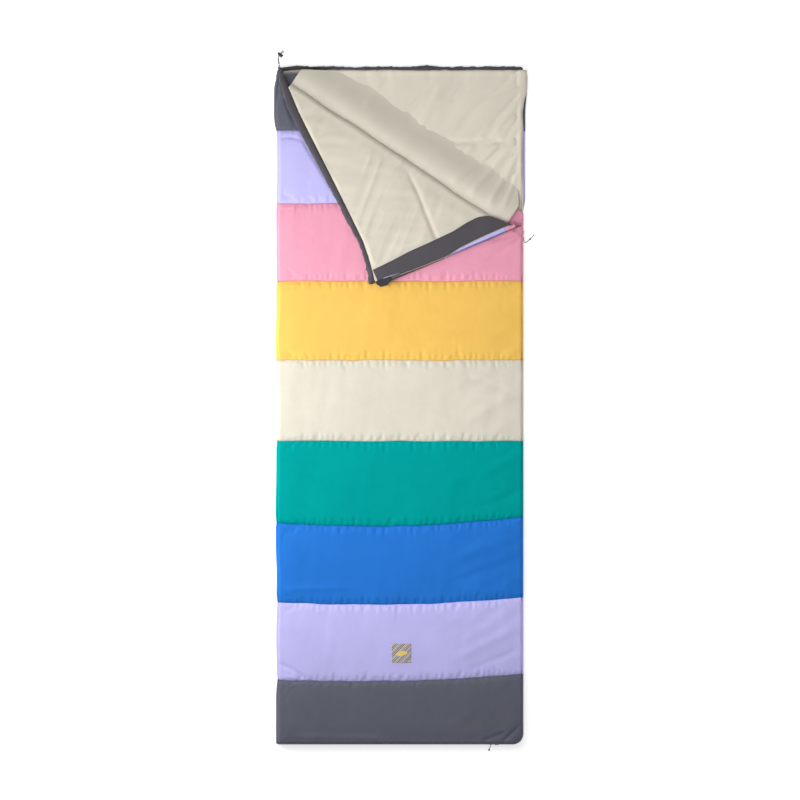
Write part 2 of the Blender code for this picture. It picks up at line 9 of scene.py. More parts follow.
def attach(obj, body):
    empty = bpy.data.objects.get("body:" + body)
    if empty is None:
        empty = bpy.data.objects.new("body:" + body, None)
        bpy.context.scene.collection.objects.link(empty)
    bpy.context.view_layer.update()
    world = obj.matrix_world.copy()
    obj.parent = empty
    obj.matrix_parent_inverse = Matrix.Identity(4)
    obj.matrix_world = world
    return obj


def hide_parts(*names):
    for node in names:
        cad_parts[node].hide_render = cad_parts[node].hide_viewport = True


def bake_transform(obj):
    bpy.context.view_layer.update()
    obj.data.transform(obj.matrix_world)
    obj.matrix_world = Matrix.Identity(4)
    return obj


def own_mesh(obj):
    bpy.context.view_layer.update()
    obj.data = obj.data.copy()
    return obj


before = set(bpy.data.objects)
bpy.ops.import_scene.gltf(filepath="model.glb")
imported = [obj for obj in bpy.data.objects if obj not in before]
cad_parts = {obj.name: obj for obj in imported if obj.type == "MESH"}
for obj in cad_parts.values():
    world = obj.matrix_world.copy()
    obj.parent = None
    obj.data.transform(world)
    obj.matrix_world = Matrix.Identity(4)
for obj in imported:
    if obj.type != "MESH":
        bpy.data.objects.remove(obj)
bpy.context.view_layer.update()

# Metres. X runs across the quilt with the zip at +X, Y towards its head.
left, right, foot, head = -0.4, 0.4, -1.1, 1.1
seamLines = (-1.1, -0.898, -0.644, -0.384, -0.114, 0.149, 0.406, 0.659, 0.897, 1.1)
stripeNames = (
    "charcoal_foot", "lilac_foot", "blue", "green", "ecru", "yellow", "pink", "lilac_head", "charcoal_head"
)
stripeFinish = ("charcoal", "lilac", "blue", "green", "ecru", "yellow", "pink", "lilac", "charcoal")
layer, frontBase, frontTop, chainHeight, creaseHeight = 0.0226, 0.0306, 0.0532, 0.0266, 0.0535
cornerRadius, sideInset = 0.034, 0.0018
foldInset = 0.03  # how far the shown edge of the fold lies from the crease
creaseHead = Vector((-0.375, 1.1, 0.0))
creaseSide = Vector((0.4, 0.585, 0.0))
creaseAlong = (creaseSide - creaseHead).normalized()
creaseOut = Vector((-creaseAlong.y, creaseAlong.x, 0.0))
foldOver = (
    Matrix.Translation((creaseHead.x, creaseHead.y, creaseHeight))
    @ Matrix.Rotation(math.pi, 4, creaseAlong)
    @ Matrix.Translation((-creaseHead.x, -creaseHead.y, -creaseHeight))
)


def smooth(low, high, value):
    t = np.clip((np.asarray(value, float) - low) / (high - low), 0, 1)
    return t * t * (3 - 2 * t)


# Smooth noise from -1 to 1, with one bump about every scale metres.
def noise(x, y, scale, seed):
    lattice = np.random.RandomState(seed).uniform(-1, 1, (64, 64))
    u, v = np.asarray(x, float) / scale + 20, np.asarray(y, float) / scale + 20
    i, j = np.floor(u).astype(int), np.floor(v).astype(int)
    s, t = u - i, v - j
    s, t = s * s * (3 - 2 * s), t * t * (3 - 2 * t)
    a, b = lattice[i % 64, j % 64], lattice[(i + 1) % 64, j % 64]
    c, d = lattice[i % 64, (j + 1) % 64], lattice[(i + 1) % 64, (j + 1) % 64]
    return (a * (1 - s) + b * s) * (1 - t) + (c * (1 - s) + d * s) * t


# Distance along the crease from its head end, and distance out past it.
def creaseCoords(x, y):
    dx, dy = np.asarray(x) - creaseHead.x, np.asarray(y) - creaseHead.y
    return dx * creaseAlong.x + dy * creaseAlong.y, dx * creaseOut.x + dy * creaseOut.y


# A soft fold from point a to point b, fading at its ends.
def ridge(x, y, a, b, height, width, bow=0.0):
    ax, ay = a
    bx, by = b
    length = math.hypot(bx - ax, by - ay)
    ux, uy = (bx - ax) / length, (by - ay) / length
    along = ((x - ax) * ux + (y - ay) * uy) / length
    across = -(x - ax) * uy + (y - ay) * ux - bow * 4 * along * (1 - along)
    fade = smooth(-0.05, 0.25, along) * (1 - smooth(0.75, 1.05, along))
    return height * fade * np.exp(-((across / width) ** 2))


# Hides the nodes a piece stands for, with its filling where it is padded, and attaches it to its body.
def settle(obj, body, nodes=()):
    if nodes:
        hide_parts(*nodes)
    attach(obj, body)
    return obj


def linkObject(name, data):
    obj = bpy.data.objects.new(name, data)
    bpy.context.scene.collection.objects.link(obj)
    return obj


def writeBack(obj, bm):
    bm.to_mesh(obj.data)
    bm.free()


# Camera, light and floor

studio = {
    "keyPower": 76.0, "keyHeight": 1.1, "keyOffset": -1.35, "keyWide": 1.0, "headPower": 7.0,
    "worldLight": 0.25, "floorShade": 0.93, "floorGlow": 0.62,
}


def areaLight(name, place, aim, wide, tall, power):
    light = linkObject(name, bpy.data.lights.new(name, "AREA"))
    light.data.shape = "RECTANGLE"
    light.data.size, light.data.size_y, light.data.energy = wide, tall, power
    light.location = place
    light.rotation_euler = (Vector(aim) - Vector(place)).to_track_quat("-Z", "Y").to_euler()
    return light


def makeStage():
    scene = bpy.context.scene
    scene.view_settings.view_transform = "Standard"
    camera = linkObject("photoCamera", bpy.data.cameras.new("photoCamera"))
    camera.data.lens, camera.data.sensor_width = 135, 36
    camera.location = (0.0, 0.0195, 9.8)
    camera.data.clip_end = 60
    scene.camera = camera
    bpy.ops.mesh.primitive_plane_add(size=40, location=(0, 0, -0.0006))
    floor = bpy.context.object
    floor.name = "studioFloor"
    paint = bpy.data.materials.new("studioFloor")
    paint.use_nodes = True
    shader = paint.node_tree.nodes["Principled BSDF"]
    shade = studio["floorShade"]
    shader.inputs["Base Color"].default_value = (shade, shade, shade, 1)
    shader.inputs["Emission Color"].default_value = (1, 1, 1, 1)
    shader.inputs["Emission Strength"].default_value = studio["floorGlow"]
    shader.inputs["Roughness"].default_value = 0.9
    shader.inputs["Specular IOR Level"].default_value = 0.1
    floor.data.materials.append(paint)
    key = areaLight(
        "keyLight", (studio["keyOffset"], 0.1, studio["keyHeight"]), (-0.3, 0.1, 0.0), studio["keyWide"], 5.2,
        studio["keyPower"]
    )
    headLight = areaLight("headLight", (0.5, 3.6, 2.6), (0.2, 0.7, 0.0), 2.4, 1.6, studio["headPower"])
    world = bpy.data.worlds.new("studioWorld")
    scene.world = world
    world.use_nodes = True
    level = studio["worldLight"]
    world.node_tree.nodes["Background"].inputs["Color"].default_value = (level, level, level * 1.02, 1)


# Cords

cordLook = {"diameter": 0.0022, "knotRadius": 0.0032, "knotGap": 0.0003, "plaitScale": 900.0}


# A curve through the points, evenly spaced, with round closed ends.
def cordMesh(name, points, diameter):
    curve = bpy.data.curves.new(name, "CURVE")
    curve.dimensions = "3D"
    curve.bevel_depth = diameter / 2
    curve.bevel_resolution = 3
    curve.use_fill_caps = True
    spline = curve.splines.new("POLY")
    spline.points.add(len(points) - 1)
    for spot, point in zip(spline.points, points):
        spot.co = (*point, 1)
    return linkObject(name, curve)


# Catmull-Rom through the points, then evenly spaced along the line.
def throughPoints(points, count):
    points = [Vector(p) for p in points]
    padded = [points[0] * 2 - points[1], *points, points[-1] * 2 - points[-2]]
    dense = []
    for i in range(1, len(padded) - 2):
        a, b, c, d = padded[i - 1 : i + 3]
        for step in range(12):
            t = step / 12
            dense.append(
                0.5
                * (2 * b + (c - a) * t + (2 * a - 5 * b + 4 * c - d) * t**2 + (3 * b - a - 3 * c + d) * t**3)
            )
    dense.append(points[-1])
    lengths = np.concatenate([[0], np.cumsum([(q - p).length for p, q in zip(dense, dense[1:])])])
    spots = np.linspace(0, lengths[-1], count)
    table = np.array([tuple(p) for p in dense])
    line = np.stack([np.interp(spots, lengths, table[:, k]) for k in range(3)], axis=1)
    return [Vector(p) for p in line], float(lengths[-1])


topCordStart, footCordStart = Vector((0.4018, 0.5512, 0.0266)), Vector((0.3012, -1.1018, 0.0266))
topCordRoute = (
    (0.0, 0.0, 0.0), (0.0006, -0.003, -0.0012), (0.0024, -0.0072, -0.0078), (0.003, -0.0108, -0.0165),
    (0.0036, -0.0142, -0.0232), (0.006, -0.0172, -0.0254), (0.0105, -0.0165, -0.0254),
    (0.0155, -0.0128, -0.0254), (0.0205, -0.0084, -0.0254),
)
footCordRoute = (
    (0.0, 0.0, 0.0), (-0.003, -0.001, -0.0012), (-0.0062, -0.003, -0.008), (-0.007, -0.0058, -0.017),
    (-0.0064, -0.0092, -0.0236), (-0.007, -0.0135, -0.0254), (-0.0088, -0.0178, -0.0254),
)
tailRoute = ((0.0, 0.0, 0.0), (0.0038, 0.004, 0.0), (0.0074, 0.0086, 0.0), (0.0104, 0.0138, 0.0))
lockCentre = Vector((left + 0.0105, head + 0.045, 0.0056))
lockPlace = Matrix.Translation(lockCentre) @ Matrix.Rotation(math.radians(50), 4, "Z")
strandMiddle = 0.0027


def drawcordPoints():
    corner = Vector((left, head, 0))

    def strand(along, across, up):
        return lockPlace @ Vector((along, strandMiddle + across, up))

    out = ((0.0016, 0.0016, 0.011), (0.004, 0.009, 0.008), (0.0056, 0.019, 0.0062), (0.004, 0.03, 0.0066))
    back = ((0.0012, 0.03, 0.003), (0.003, 0.02, 0.0014), (0.0074, 0.01, 0.004), (0.0104, 0.0016, 0.011))
    route = [corner + Vector(p) for p in out]
    route += [strand(along, 0, 0.0013) for along in (-0.009, -0.0045, 0, 0.0045, 0.009)]
    route += [
        strand(0.01275, 0.0028, 0.0004), strand(0.0165, 0.0004, -0.002), strand(0.01275, -0.0026, -0.0028)
    ]
    route += [strand(along, 0, -0.0013) for along in (0.009, 0.0045, 0, -0.0045, -0.009)]
    return route + [corner + Vector(p) for p in back]


# An overhand knot: a short cord wound round itself.
def knotMesh(name, centre):
    turns = np.linspace(0, 2 * math.pi, 41)
    points = []
    for a in turns[:-2]:
        ring = 0.0016 + 0.0008 * math.cos(3 * a)
        points.append(
            centre + Vector((ring * math.cos(2 * a), ring * math.sin(2 * a), 0.0008 * math.sin(3 * a)))
        )
    return cordMesh(name, points, cordLook["diameter"])


def makeCords(finish):
    lengths = {}

    def cordPiece(piece, node, body):
        piece.data.materials.append(finish)
        settle(piece, body, (node,))

    for prefix, start, route, body in (
        ("top", topCordStart, topCordRoute, "top_puller"),
        ("foot", footCordStart, footCordRoute, "foot_puller"),
    ):
        points = [start + Vector(p) for p in route]
        line, length = throughPoints(points, 26)
        lead = cordMesh(f"{prefix}_pull_cord_braid", line, cordLook["diameter"])
        run = (points[-1] - points[-2]).normalized()
        reach = run * (cordLook["knotRadius"] + cordLook["knotGap"])
        middle = points[-1] + reach
        middle.z = cordLook["knotRadius"]
        knot = knotMesh(f"{prefix}_cord_knot_braid", middle)
        for piece, node in ((lead, f"{prefix}_pull_cord"), (knot, f"{prefix}_cord_knot")):
            cordPiece(piece, node, body)
        lengths[lead.name] = length
        if prefix == "top":
            leave = points[-1] + reach * 2
            leave.z = 0.0012
            tail = [leave + Vector(p) for p in tailRoute]
            tailLine, _ = throughPoints(tail, 15)
            cordPiece(cordMesh("top_cord_tail_braid", tailLine, cordLook["diameter"]), "top_cord_tail", body)
    line, length = throughPoints(drawcordPoints(), 40)
    hemCord = cordMesh("drawcord_braid", line, cordLook["diameter"])
    cordPiece(hemCord, "drawcord", "back_quilt")
    lengths["drawcord_braid"] = length
    for name, length in lengths.items():
        print(f"{name}: {length * 1000:.1f} mm")


# Materials

shellColours = {
    "charcoal": (0.122, 0.128, 0.164), "lilac": (0.548, 0.52, 0.913), "pink": (0.847, 0.357, 0.482),
    "yellow": (0.88, 0.545, 0.116), "ecru": (0.69, 0.654, 0.549), "green": (0.0, 0.333, 0.32),
    "blue": (0.015, 0.178, 0.642),
}
otherColours = {
    # The second lining colour is the lining cloth painted about 15% lighter: painted light that lifts the shade of
    # the fold's roll on the back lining and shoulder.
    "lining": (0.69, 0.641, 0.536), "innerLining": (0.795, 0.74, 0.622), "band": (0.085, 0.078, 0.09),
    "tape": (0.045, 0.045, 0.052),
    "coil": (0.016, 0.016, 0.019), "metal": (0.3, 0.3, 0.31), "cord": (0.045, 0.045, 0.052),
    "plastic": (0.02, 0.02, 0.023), "hook": (0.03, 0.03, 0.033),
    "piping": (0.42, 0.33, 0.26), "thread": (0.05, 0.05, 0.06), "label": (0.62, 0.66, 0.62),
    "stripeTeal": (0.1, 0.22, 0.3), "stripeCoral": (0.66, 0.42, 0.36), "stripeBrown": (0.06, 0.03, 0.035),
    # The pale grey of the tab's loop pad is painted highlight for the lit top edge of the black tab.
    "motif": (0.85, 0.62, 0.14), "loops": (0.3, 0.3, 0.32),
}


weaveScale = 0.314  # wave texture scale that gives one thread a metre


def newMaterial(name, colour, roughness, metallic=0.0, sheen=0.0, specular=0.5):
    material = bpy.data.materials.new(name)
    material.use_nodes = True
    shader = material.node_tree.nodes["Principled BSDF"]
    shader.inputs["Base Color"].default_value = (*colour, 1)
    shader.inputs["Roughness"].default_value = roughness
    shader.inputs["Metallic"].default_value = metallic
    shader.inputs["Sheen Weight"].default_value = sheen
    shader.inputs["Sheen Roughness"].default_value = 0.5
    shader.inputs["Specular IOR Level"].default_value = specular
    return material, material.node_tree, shader


def addNode(tree, kind, **values):
    node = tree.nodes.new(kind)
    for key, value in values.items():
        if hasattr(node, key):
            setattr(node, key, value)
        else:
            node.inputs[key.replace("_", " ")].default_value = value
    return node


# Plain weave: two crossed waves in object space, a slight drift of shade, and a fine bump.
def clothMaterial(
    name, colour, roughness=0.7, pitch=0.0012, sheen=0.03, variation=0.04, bump=0.18, fuzz=0.0, specular=0.14
):
    material, tree, shader = newMaterial(name, colour, roughness, 0.0, sheen, specular)
    link = tree.links.new
    coords = addNode(tree, "ShaderNodeTexCoord")
    warp, weft = (
        addNode(
            tree, "ShaderNodeTexWave", wave_type="BANDS", bands_direction=way, Scale=weaveScale / pitch,
            Distortion=0.6, Detail=1.0
        )
        for way in "XY"
    )
    weave = addNode(tree, "ShaderNodeMath", operation="MULTIPLY")
    cloud = addNode(tree, "ShaderNodeTexNoise", Scale=9.0, Detail=6.0, Roughness=0.6)
    grain = addNode(tree, "ShaderNodeTexNoise", Scale=900.0 if fuzz else 420.0, Detail=3.0, Roughness=0.7)
    for node in (warp, weft, cloud, grain):
        link(coords.outputs["Object"], node.inputs["Vector"])
    link(warp.outputs["Fac"], weave.inputs[0])
    link(weft.outputs["Fac"], weave.inputs[1])
    shades = addNode(tree, "ShaderNodeMix", data_type="RGBA")
    drift = addNode(tree, "ShaderNodeMapRange", From_Min=0.3, From_Max=0.7, To_Min=0.0, To_Max=1.0)
    link(cloud.outputs["Fac"], drift.inputs["Value"])
    link(drift.outputs["Result"], shades.inputs["Factor"])
    shades.inputs["A"].default_value = (*(c * (1 - variation) for c in colour), 1)
    shades.inputs["B"].default_value = (*(min(1.0, c * (1 + variation)) for c in colour), 1)
    thread = addNode(tree, "ShaderNodeMix", data_type="RGBA", blend_type="MULTIPLY", Factor=1.0)
    threadShade = addNode(tree, "ShaderNodeMapRange", From_Min=0.0, From_Max=1.0, To_Min=1.0, To_Max=0.93)
    link(weave.outputs[0], threadShade.inputs["Value"])
    link(shades.outputs["Result"], thread.inputs["A"])
    link(threadShade.outputs["Result"], thread.inputs["B"])
    link(thread.outputs["Result"], shader.inputs["Base Color"])
    height = addNode(tree, "ShaderNodeMath", operation="ADD")
    link(weave.outputs[0], height.inputs[0])
    link(grain.outputs["Fac"], height.inputs[1])
    bumpFrom(tree, shader, height.outputs[0], bump, 0.0005)
    return material


def bumpFrom(tree, shader, height, strength, distance):
    relief = addNode(tree, "ShaderNodeBump", Strength=strength, Distance=distance)
    tree.links.new(height, relief.inputs["Height"])
    tree.links.new(relief.outputs["Normal"], shader.inputs["Normal"])


def braidMaterial(name, colour):
    material, tree, shader = newMaterial(name, colour, 0.7, 0.0, 0.2, 0.3)
    coords = addNode(tree, "ShaderNodeTexCoord")
    plait = addNode(tree, "ShaderNodeTexVoronoi", Scale=cordLook["plaitScale"])
    tree.links.new(coords.outputs["Object"], plait.inputs["Vector"])
    bumpFrom(tree, shader, plait.outputs["Distance"], 0.6, 0.0003)
    return material


def grainMaterial(name, colour, roughness, metallic, scale, bump=0.05):
    material, tree, shader = newMaterial(name, colour, roughness, metallic)
    coords = addNode(tree, "ShaderNodeTexCoord")
    grain = addNode(tree, "ShaderNodeTexNoise", Scale=scale, Detail=5.0, Roughness=0.6)
    tree.links.new(coords.outputs["Object"], grain.inputs["Vector"])
    rough = addNode(
        tree, "ShaderNodeMapRange", From_Min=0.3, From_Max=0.7, To_Min=roughness - 0.08, To_Max=roughness + 0.08
    )
    tree.links.new(grain.outputs["Fac"], rough.inputs["Value"])
    tree.links.new(rough.outputs["Result"], shader.inputs["Roughness"])
    bumpFrom(tree, shader, grain.outputs["Fac"], bump, 0.0002)
    return material


def makeFinishes():
    made = {key: clothMaterial(f"{key}Shell", colour) for key, colour in shellColours.items() if key != "green"}
    made["green"] = clothMaterial("greenShell", shellColours["green"], sheen=0.0, specular=0.02)
    cloths = {
        "lining": ("lining", 0.78, 0.0011, 0.18, 0.03, 0.12, 1.0),
        "innerLining": ("innerLining", 0.78, 0.0011, 0.18, 0.03, 0.12, 1.0),
        "band": ("band", 0.66, 0.001, 0.15, 0.05, 0.15), "tape": ("zipTape", 0.75, 0.0009, 0.1, 0.06, 0.4),
        "piping": ("piping", 0.7, 0.0008), "label": ("label", 0.6, 0.0008),
    }
    cloths.update(
        {key: (key, 0.6, 0.0008) for key in ("stripeTeal", "stripeCoral", "stripeBrown", "motif", "loops")}
    )
    for key, (name, *values) in cloths.items():
        made[key] = clothMaterial(name, otherColours[key], *values)
    grains = {
        "hook": ("hookPad", 0.85, 0.0, 1400.0, 1.0), "thread": ("thread", 0.6, 0.0, 3000.0, 0.4),
        "coil": ("zipCoil", 0.35, 0.0, 900.0),
        "metal": ("metal", 0.34, 1.0, 500.0), "plastic": ("plastic", 0.42, 0.0, 700.0, 0.15),
    }
    for key, (name, *values) in grains.items():
        made[key] = grainMaterial(name, otherColours[key], *values)
    made["cord"] = braidMaterial("cord", otherColours["cord"])
    made["hem"] = clothMaterial("hem", otherColours["band"], 0.66, 0.001, 0.12, 0.08, 0.2)
    return made


# Quilted cloth: a grid of points with rows along the seams

quilt = {
    "across": 92, "rowPitch": 0.0088, "edgeRadius": 0.014, "puff": 0.0562, "seamDip": 0.003,
    "seamWidth": 0.0075, "shrink": -0.018, "pressure": 4.0, "capUp": 0.0026, "capDown": 0.002,
    "sideways": 0.0025, "nearEdge": 0.0065, "farEdge": 0.0075, "frontInset": -0.002, "backInset": 0.0008,
}
seamBows = {1: (0.0075, 0.004, 0.027), 2: (0.007, -0.001, 0.023), 3: (0.004, -0.006, 0.023)}


# Where seam k lies at x: a gentle bow through its left, middle and right ends, with a slight waver.
def seamAt(k, x):
    line = np.full(np.shape(x), seamLines[k], float)
    if 0 < k < 9:
        a, b, c = seamBows.get(k, (0.0, 0.0, 0.0))
        t = (np.asarray(x) - left) / (right - left)
        line = line + a * (1 - t) * (1 - 2 * t) + b * 4 * t * (1 - t) + c * t * (2 * t - 1)
        line = line + 0.0016 * noise(x, np.zeros(np.shape(x)), 0.05, 50 + k)
    return line


# The foot's zip-side corner: the grid's square corner squeezed into a quarter disc.
def roundCorner(x, y, radius):
    u = np.clip((x - (right - radius)) / radius, 0, 1)
    v = np.clip(((foot + radius) - y) / radius, 0, 1)
    newU, newV = u * np.sqrt(1 - v * v / 2), v * np.sqrt(1 - u * u / 2)
    return x + (newU - u) * radius, y - (newV - v) * radius


# Rows of points from foot to head, closer together at the edges, with rows lying on the seams.
def quiltGrid(inset):
    count = quilt["across"]
    t = np.linspace(0, 1, count + 1)
    edge = 0.5 - 0.5 * np.cos(math.pi * t)
    t = 0.72 * t + 0.28 * edge
    xs = (left + sideInset) + t * (right - inset - left - sideInset)
    rows, stripeOfRow = [], []
    for k in range(9):
        low = seamAt(k, xs) if k else np.full(xs.shape, foot + inset)
        high = seamAt(k + 1, xs) if k < 8 else np.full(xs.shape, head - 0.0215)
        steps = int(round((seamLines[k + 1] - seamLines[k]) / quilt["rowPitch"]))
        s = np.linspace(0, 1, steps + 1)
        s = 0.7 * s + 0.3 * (0.5 - 0.5 * np.cos(math.pi * s))
        for i in range(steps if k < 8 else steps + 1):
            rows.append(low * (1 - s[i]) + high * s[i])
            stripeOfRow.append(k)
    ys = np.array(rows)
    xx = np.tile(xs, (len(rows), 1))
    xx, ys = roundCorner(xx, ys, cornerRadius)
    return xx, ys, np.array(stripeOfRow)


# Distance to the nearest inner seam.
def seamDistance(x, y):
    best = np.full(np.shape(x), 9.0)
    for k in range(1, 9):
        best = np.minimum(best, np.abs(y - seamAt(k, x)))
    return best


# 0 at the outline and 1 a radius inside it, rising like a quarter round.
def edgeProfile(x, y, radius, inset):
    dx = (right - inset) - x
    dy = y - (foot + inset)
    d = np.minimum(dx, dy)
    folded = np.clip((x - (left + sideInset)) / 0.016, 0, 1)
    folded = 0.72 + 0.28 * np.sqrt(1 - (1 - folded) ** 2)
    cx, cy = right - cornerRadius, foot + cornerRadius
    inCorner = (x > cx) & (y < cy)
    rounded = (cornerRadius - inset) - np.hypot(x - cx, y - cy)
    d = np.where(inCorner, rounded, d)
    t = np.clip(d / radius, 0, 1)
    return np.sqrt(np.clip(1 - (1 - t) ** 2, 0, 1)) * folded, d


def makeGridMesh(name, x, y, z):
    rows, columns = x.shape
    mesh = bpy.data.meshes.new(name)
    points = np.stack([x.ravel(), y.ravel(), z.ravel()], axis=1)
    i = np.arange(rows - 1)[:, None] * columns + np.arange(columns - 1)[None, :]
    faces = np.stack([i, i + 1, i + 1 + columns, i + columns], axis=-1).reshape(-1, 4)
    mesh.vertices.add(len(points))
    mesh.vertices.foreach_set("co", points.ravel())
    mesh.loops.add(faces.size)
    mesh.loops.foreach_set("vertex_index", faces.ravel())
    mesh.polygons.add(len(faces))
    mesh.polygons.foreach_set("loop_start", np.arange(0, faces.size, 4))
    mesh.update(calc_edges=True)
    return linkObject(name, mesh)


def readPoints(mesh):
    co = np.empty(len(mesh.vertices) * 3)
    mesh.vertices.foreach_get("co", co)
    return co.reshape(-1, 3)


# Cloth held at its seams and edges, blown up for twenty frames; the move is capped and returned.
def inflate(x, y, z, pinned):
    obj = makeGridMesh("inflating", x, y, z)
    group = obj.vertex_groups.new(name="held")
    for index in np.nonzero(pinned.ravel())[0]:
        group.add([int(index)], 1.0, "REPLACE")
    cloth = obj.modifiers.new("Cloth", "CLOTH")
    settings = cloth.settings
    settings.vertex_group_mass = "held"
    settings.quality = 4
    settings.mass = 0.15
    settings.tension_stiffness = settings.compression_stiffness = 12
    settings.shear_stiffness = 4
    settings.bending_stiffness = 0.08
    settings.use_pressure = True
    settings.uniform_pressure_force = quilt["pressure"]
    settings.shrink_min = quilt["shrink"]
    settings.effector_weights.gravity = 0
    cloth.collision_settings.use_collision = False
    cloth.point_cache.frame_start, cloth.point_cache.frame_end = 1, 20
    scene = bpy.context.scene
    for frameNumber in range(1, 21):
        scene.frame_set(frameNumber)
    graph = bpy.context.evaluated_depsgraph_get()
    moved = readPoints(obj.evaluated_get(graph).data).reshape(*x.shape, 3)
    scene.frame_set(1)
    bpy.data.objects.remove(obj)
    start = np.stack([x, y, z], axis=-1)
    move = moved - start
    move[..., :2] = quilt["sideways"] * np.tanh(move[..., :2] / quilt["sideways"])
    cap = np.where(move[..., 2] > 0, quilt["capUp"], quilt["capDown"])
    move[..., 2] = cap * np.tanh(move[..., 2] / cap)
    inward = smooth(0.002, 0.06, np.minimum(np.minimum(x - left, right - x), np.minimum(y - foot, head - y)))
    return start + move * inward[..., None]


# Short gathers that run away from each seam, longer on its head side.
def seamPuckers(x, y, seed):
    total = np.zeros(x.shape)
    for k in range(1, 9):
        d = y - seamAt(k, x)
        gathers = noise(x + 0.12 * d, np.full(x.shape, 0.37 * k), 0.0072, seed + k)
        gathers = gathers + 0.6 * noise(x - 0.2 * d, np.full(x.shape, 0.91 * k), 0.017, seed + 20 + k)
        strength = np.clip(0.45 + 0.95 * noise(x, np.full(x.shape, 3.0 * k), 0.06, seed + 40 + k), 0.05, 1.3)
        above = np.exp(-np.abs(d) / 0.02) * (d > 0) + 0.3 * np.exp(-np.abs(d) / 0.008) * (d <= 0)
        above = above * smooth(0.0, 0.004, np.abs(d))
        total += 0.00052 * gathers * strength * above
    return total


# Broad soft folds: diagonal ones on the zip side, and a few creases of their own.
def frontFolds(x, y):
    rightward = smooth(0.02, 0.34, x)
    total = 0.001 * noise(x * 0.8 + y * 0.6, y * 0.9 - x * 0.4, 0.16, 5)
    total = total + 0.00055 * stretched(x, y, 80, 0.14, 0.03, 7)
    total = total + 0.0006 * stretched(x, y, 33, 0.13, 0.026, 8) * (0.3 + 1.5 * rightward)
    total = total + 0.00016 * noise(x, y, 0.012, 12)
    folds = (
        ((0.18, 0.1), (0.4, 0.02), -0.0016, 0.012, 0.01), ((0.1, 0.03), (0.34, 0.125), 0.0016, 0.018, 0.0),
        ((0.2, -0.06), (0.39, 0.05), 0.002, 0.016, 0.0), ((0.16, -0.5), (0.39, -0.42), 0.0018, 0.018, 0.0),
        ((0.14, -0.58), (0.38, -0.5), -0.0016, 0.014, 0.0), ((0.16, -0.83), (0.38, -0.72), 0.0018, 0.016, 0.0),
        ((0.22, -0.86), (0.39, -0.79), -0.0016, 0.01, 0.0),
        ((-0.39, -0.6), (-0.14, -0.592), 0.0024, 0.012, 0.004),
        ((-0.4, -0.835), (-0.3, -0.893), -0.003, 0.007, 0.006),
        ((-0.38, -1.073), (0.0, -1.08), 0.0018, 0.009, 0.0),
        ((0.26, -1.09), (0.345, -1.06), -0.0028, 0.006, 0.0),
        ((0.33, -1.094), (0.395, -1.034), -0.0028, 0.006, 0.0),
        ((-0.4, 0.868), (-0.305, 0.856), -0.0026, 0.006, 0.01),
        ((0.05, 0.28), (0.36, 0.36), 0.0016, 0.018, 0.0),
        ((0.12, 0.22), (0.38, 0.27), -0.0013, 0.014, 0.0), ((0.1, -0.26), (0.37, -0.18), 0.0016, 0.02, 0.0),
        ((0.22, -0.34), (0.39, -0.28), -0.0014, 0.012, 0.0), ((-0.37, -0.16), (-0.2, -0.2), -0.001, 0.014, 0.0),
        ((0.26, 0.545), (0.4, 0.565), -0.0032, 0.006, -0.008),
        ((0.27, 0.51), (0.4, 0.56), 0.003, 0.007, -0.004),
        ((0.28, 0.475), (0.4, 0.55), -0.0026, 0.006, -0.004),
    )
    for a, b, height, width, bow in folds:
        total = total + 1.2 * ridge(x, y, a, b, height, width, bow)
    return total


# Height of a slab's outer cloth above its own base, from 0 to about crown.
def puffedTop(x, y, crown, inset):
    edge, d = edgeProfile(x, y, quilt["edgeRadius"], inset)
    best = seamDistance(x, y)
    dip = quilt["seamDip"] * np.exp(-((best / quilt["seamWidth"]) ** 2)) + 0.0016 * np.exp(-best / 0.045)
    sides = 0.0022 * np.sin(math.pi * np.clip(best / 0.13, 0, 1)) * (1 - smooth(0.0, 0.05, d))
    return edge * (crown - dip) + edge * sides


# 1 where the folded corner lies on the front, fading to 0 outside it.
def underFlap(x, y):
    along, out = creaseCoords(x, y)
    corner = creaseCoords(np.array(right), np.array(head))
    reach = np.interp(
        along, [-0.25, 0.0, float(corner[0]), 0.9305, 1.05], [0.0, 0.02, float(corner[1]), 0.0, 0.0]
    )
    reach = reach + np.interp(along, [-0.02, 0.03, 0.1, 0.2, 0.45, 0.62], [0.0, 0.03, 0.048, 0.042, 0.0, 0.0])
    return 1 - smooth(-0.018, -0.002, np.abs(np.minimum(out, 0)) - reach)


# Closes a patch of cloth: its rim goes straight down to the level, or past it by the recess away
# from the outline.
def closeDown(bm, level, recess=0.0):
    rim = [e for e in bm.edges if e.is_boundary]
    made = bmesh.ops.extrude_edge_only(bm, edges=rim)["geom"]
    for item in made:
        if isinstance(item, bmesh.types.BMVert):
            inside = min(right - item.co.x, item.co.x - left, item.co.y - foot)
            item.co.z = level + recess * min(1.0, max(0.0, (inside - 0.004) / 0.012))
    bottom = [e for e in bm.edges if e.is_boundary]
    bmesh.ops.contextual_create(bm, geom=bottom)
    for face in bm.faces:
        if len(face.verts) > 4:
            face.smooth = False
    bmesh.ops.recalc_face_normals(bm, faces=bm.faces)


# A closed padded piece from a patch of the grid, cut along a line if one is given.
def pieceFromPatch(name, points, faces, level, finish, cut=None, matrix=None, recess=0.0):
    bm = bmesh.new()
    used = np.unique(faces)
    table = {int(i): bm.verts.new(points[i]) for i in used}
    for face in faces:
        bm.faces.new([table[int(i)] for i in face])
    if cut:
        place, normal = cut
        geom = bm.verts[:] + bm.edges[:] + bm.faces[:]
        bmesh.ops.bisect_plane(bm, geom=geom, plane_co=place, plane_no=normal, clear_outer=True, dist=1e-5)
    if not bm.faces:
        bm.free()
        return None
    for face in bm.faces:
        face.smooth = True
    closeDown(bm, level, recess)
    if matrix:
        bmesh.ops.transform(bm, matrix=matrix, verts=bm.verts)
    mesh = bpy.data.meshes.new(name)
    bm.to_mesh(mesh)
    bm.free()
    mesh.materials.append(finish)
    return linkObject(name, mesh)


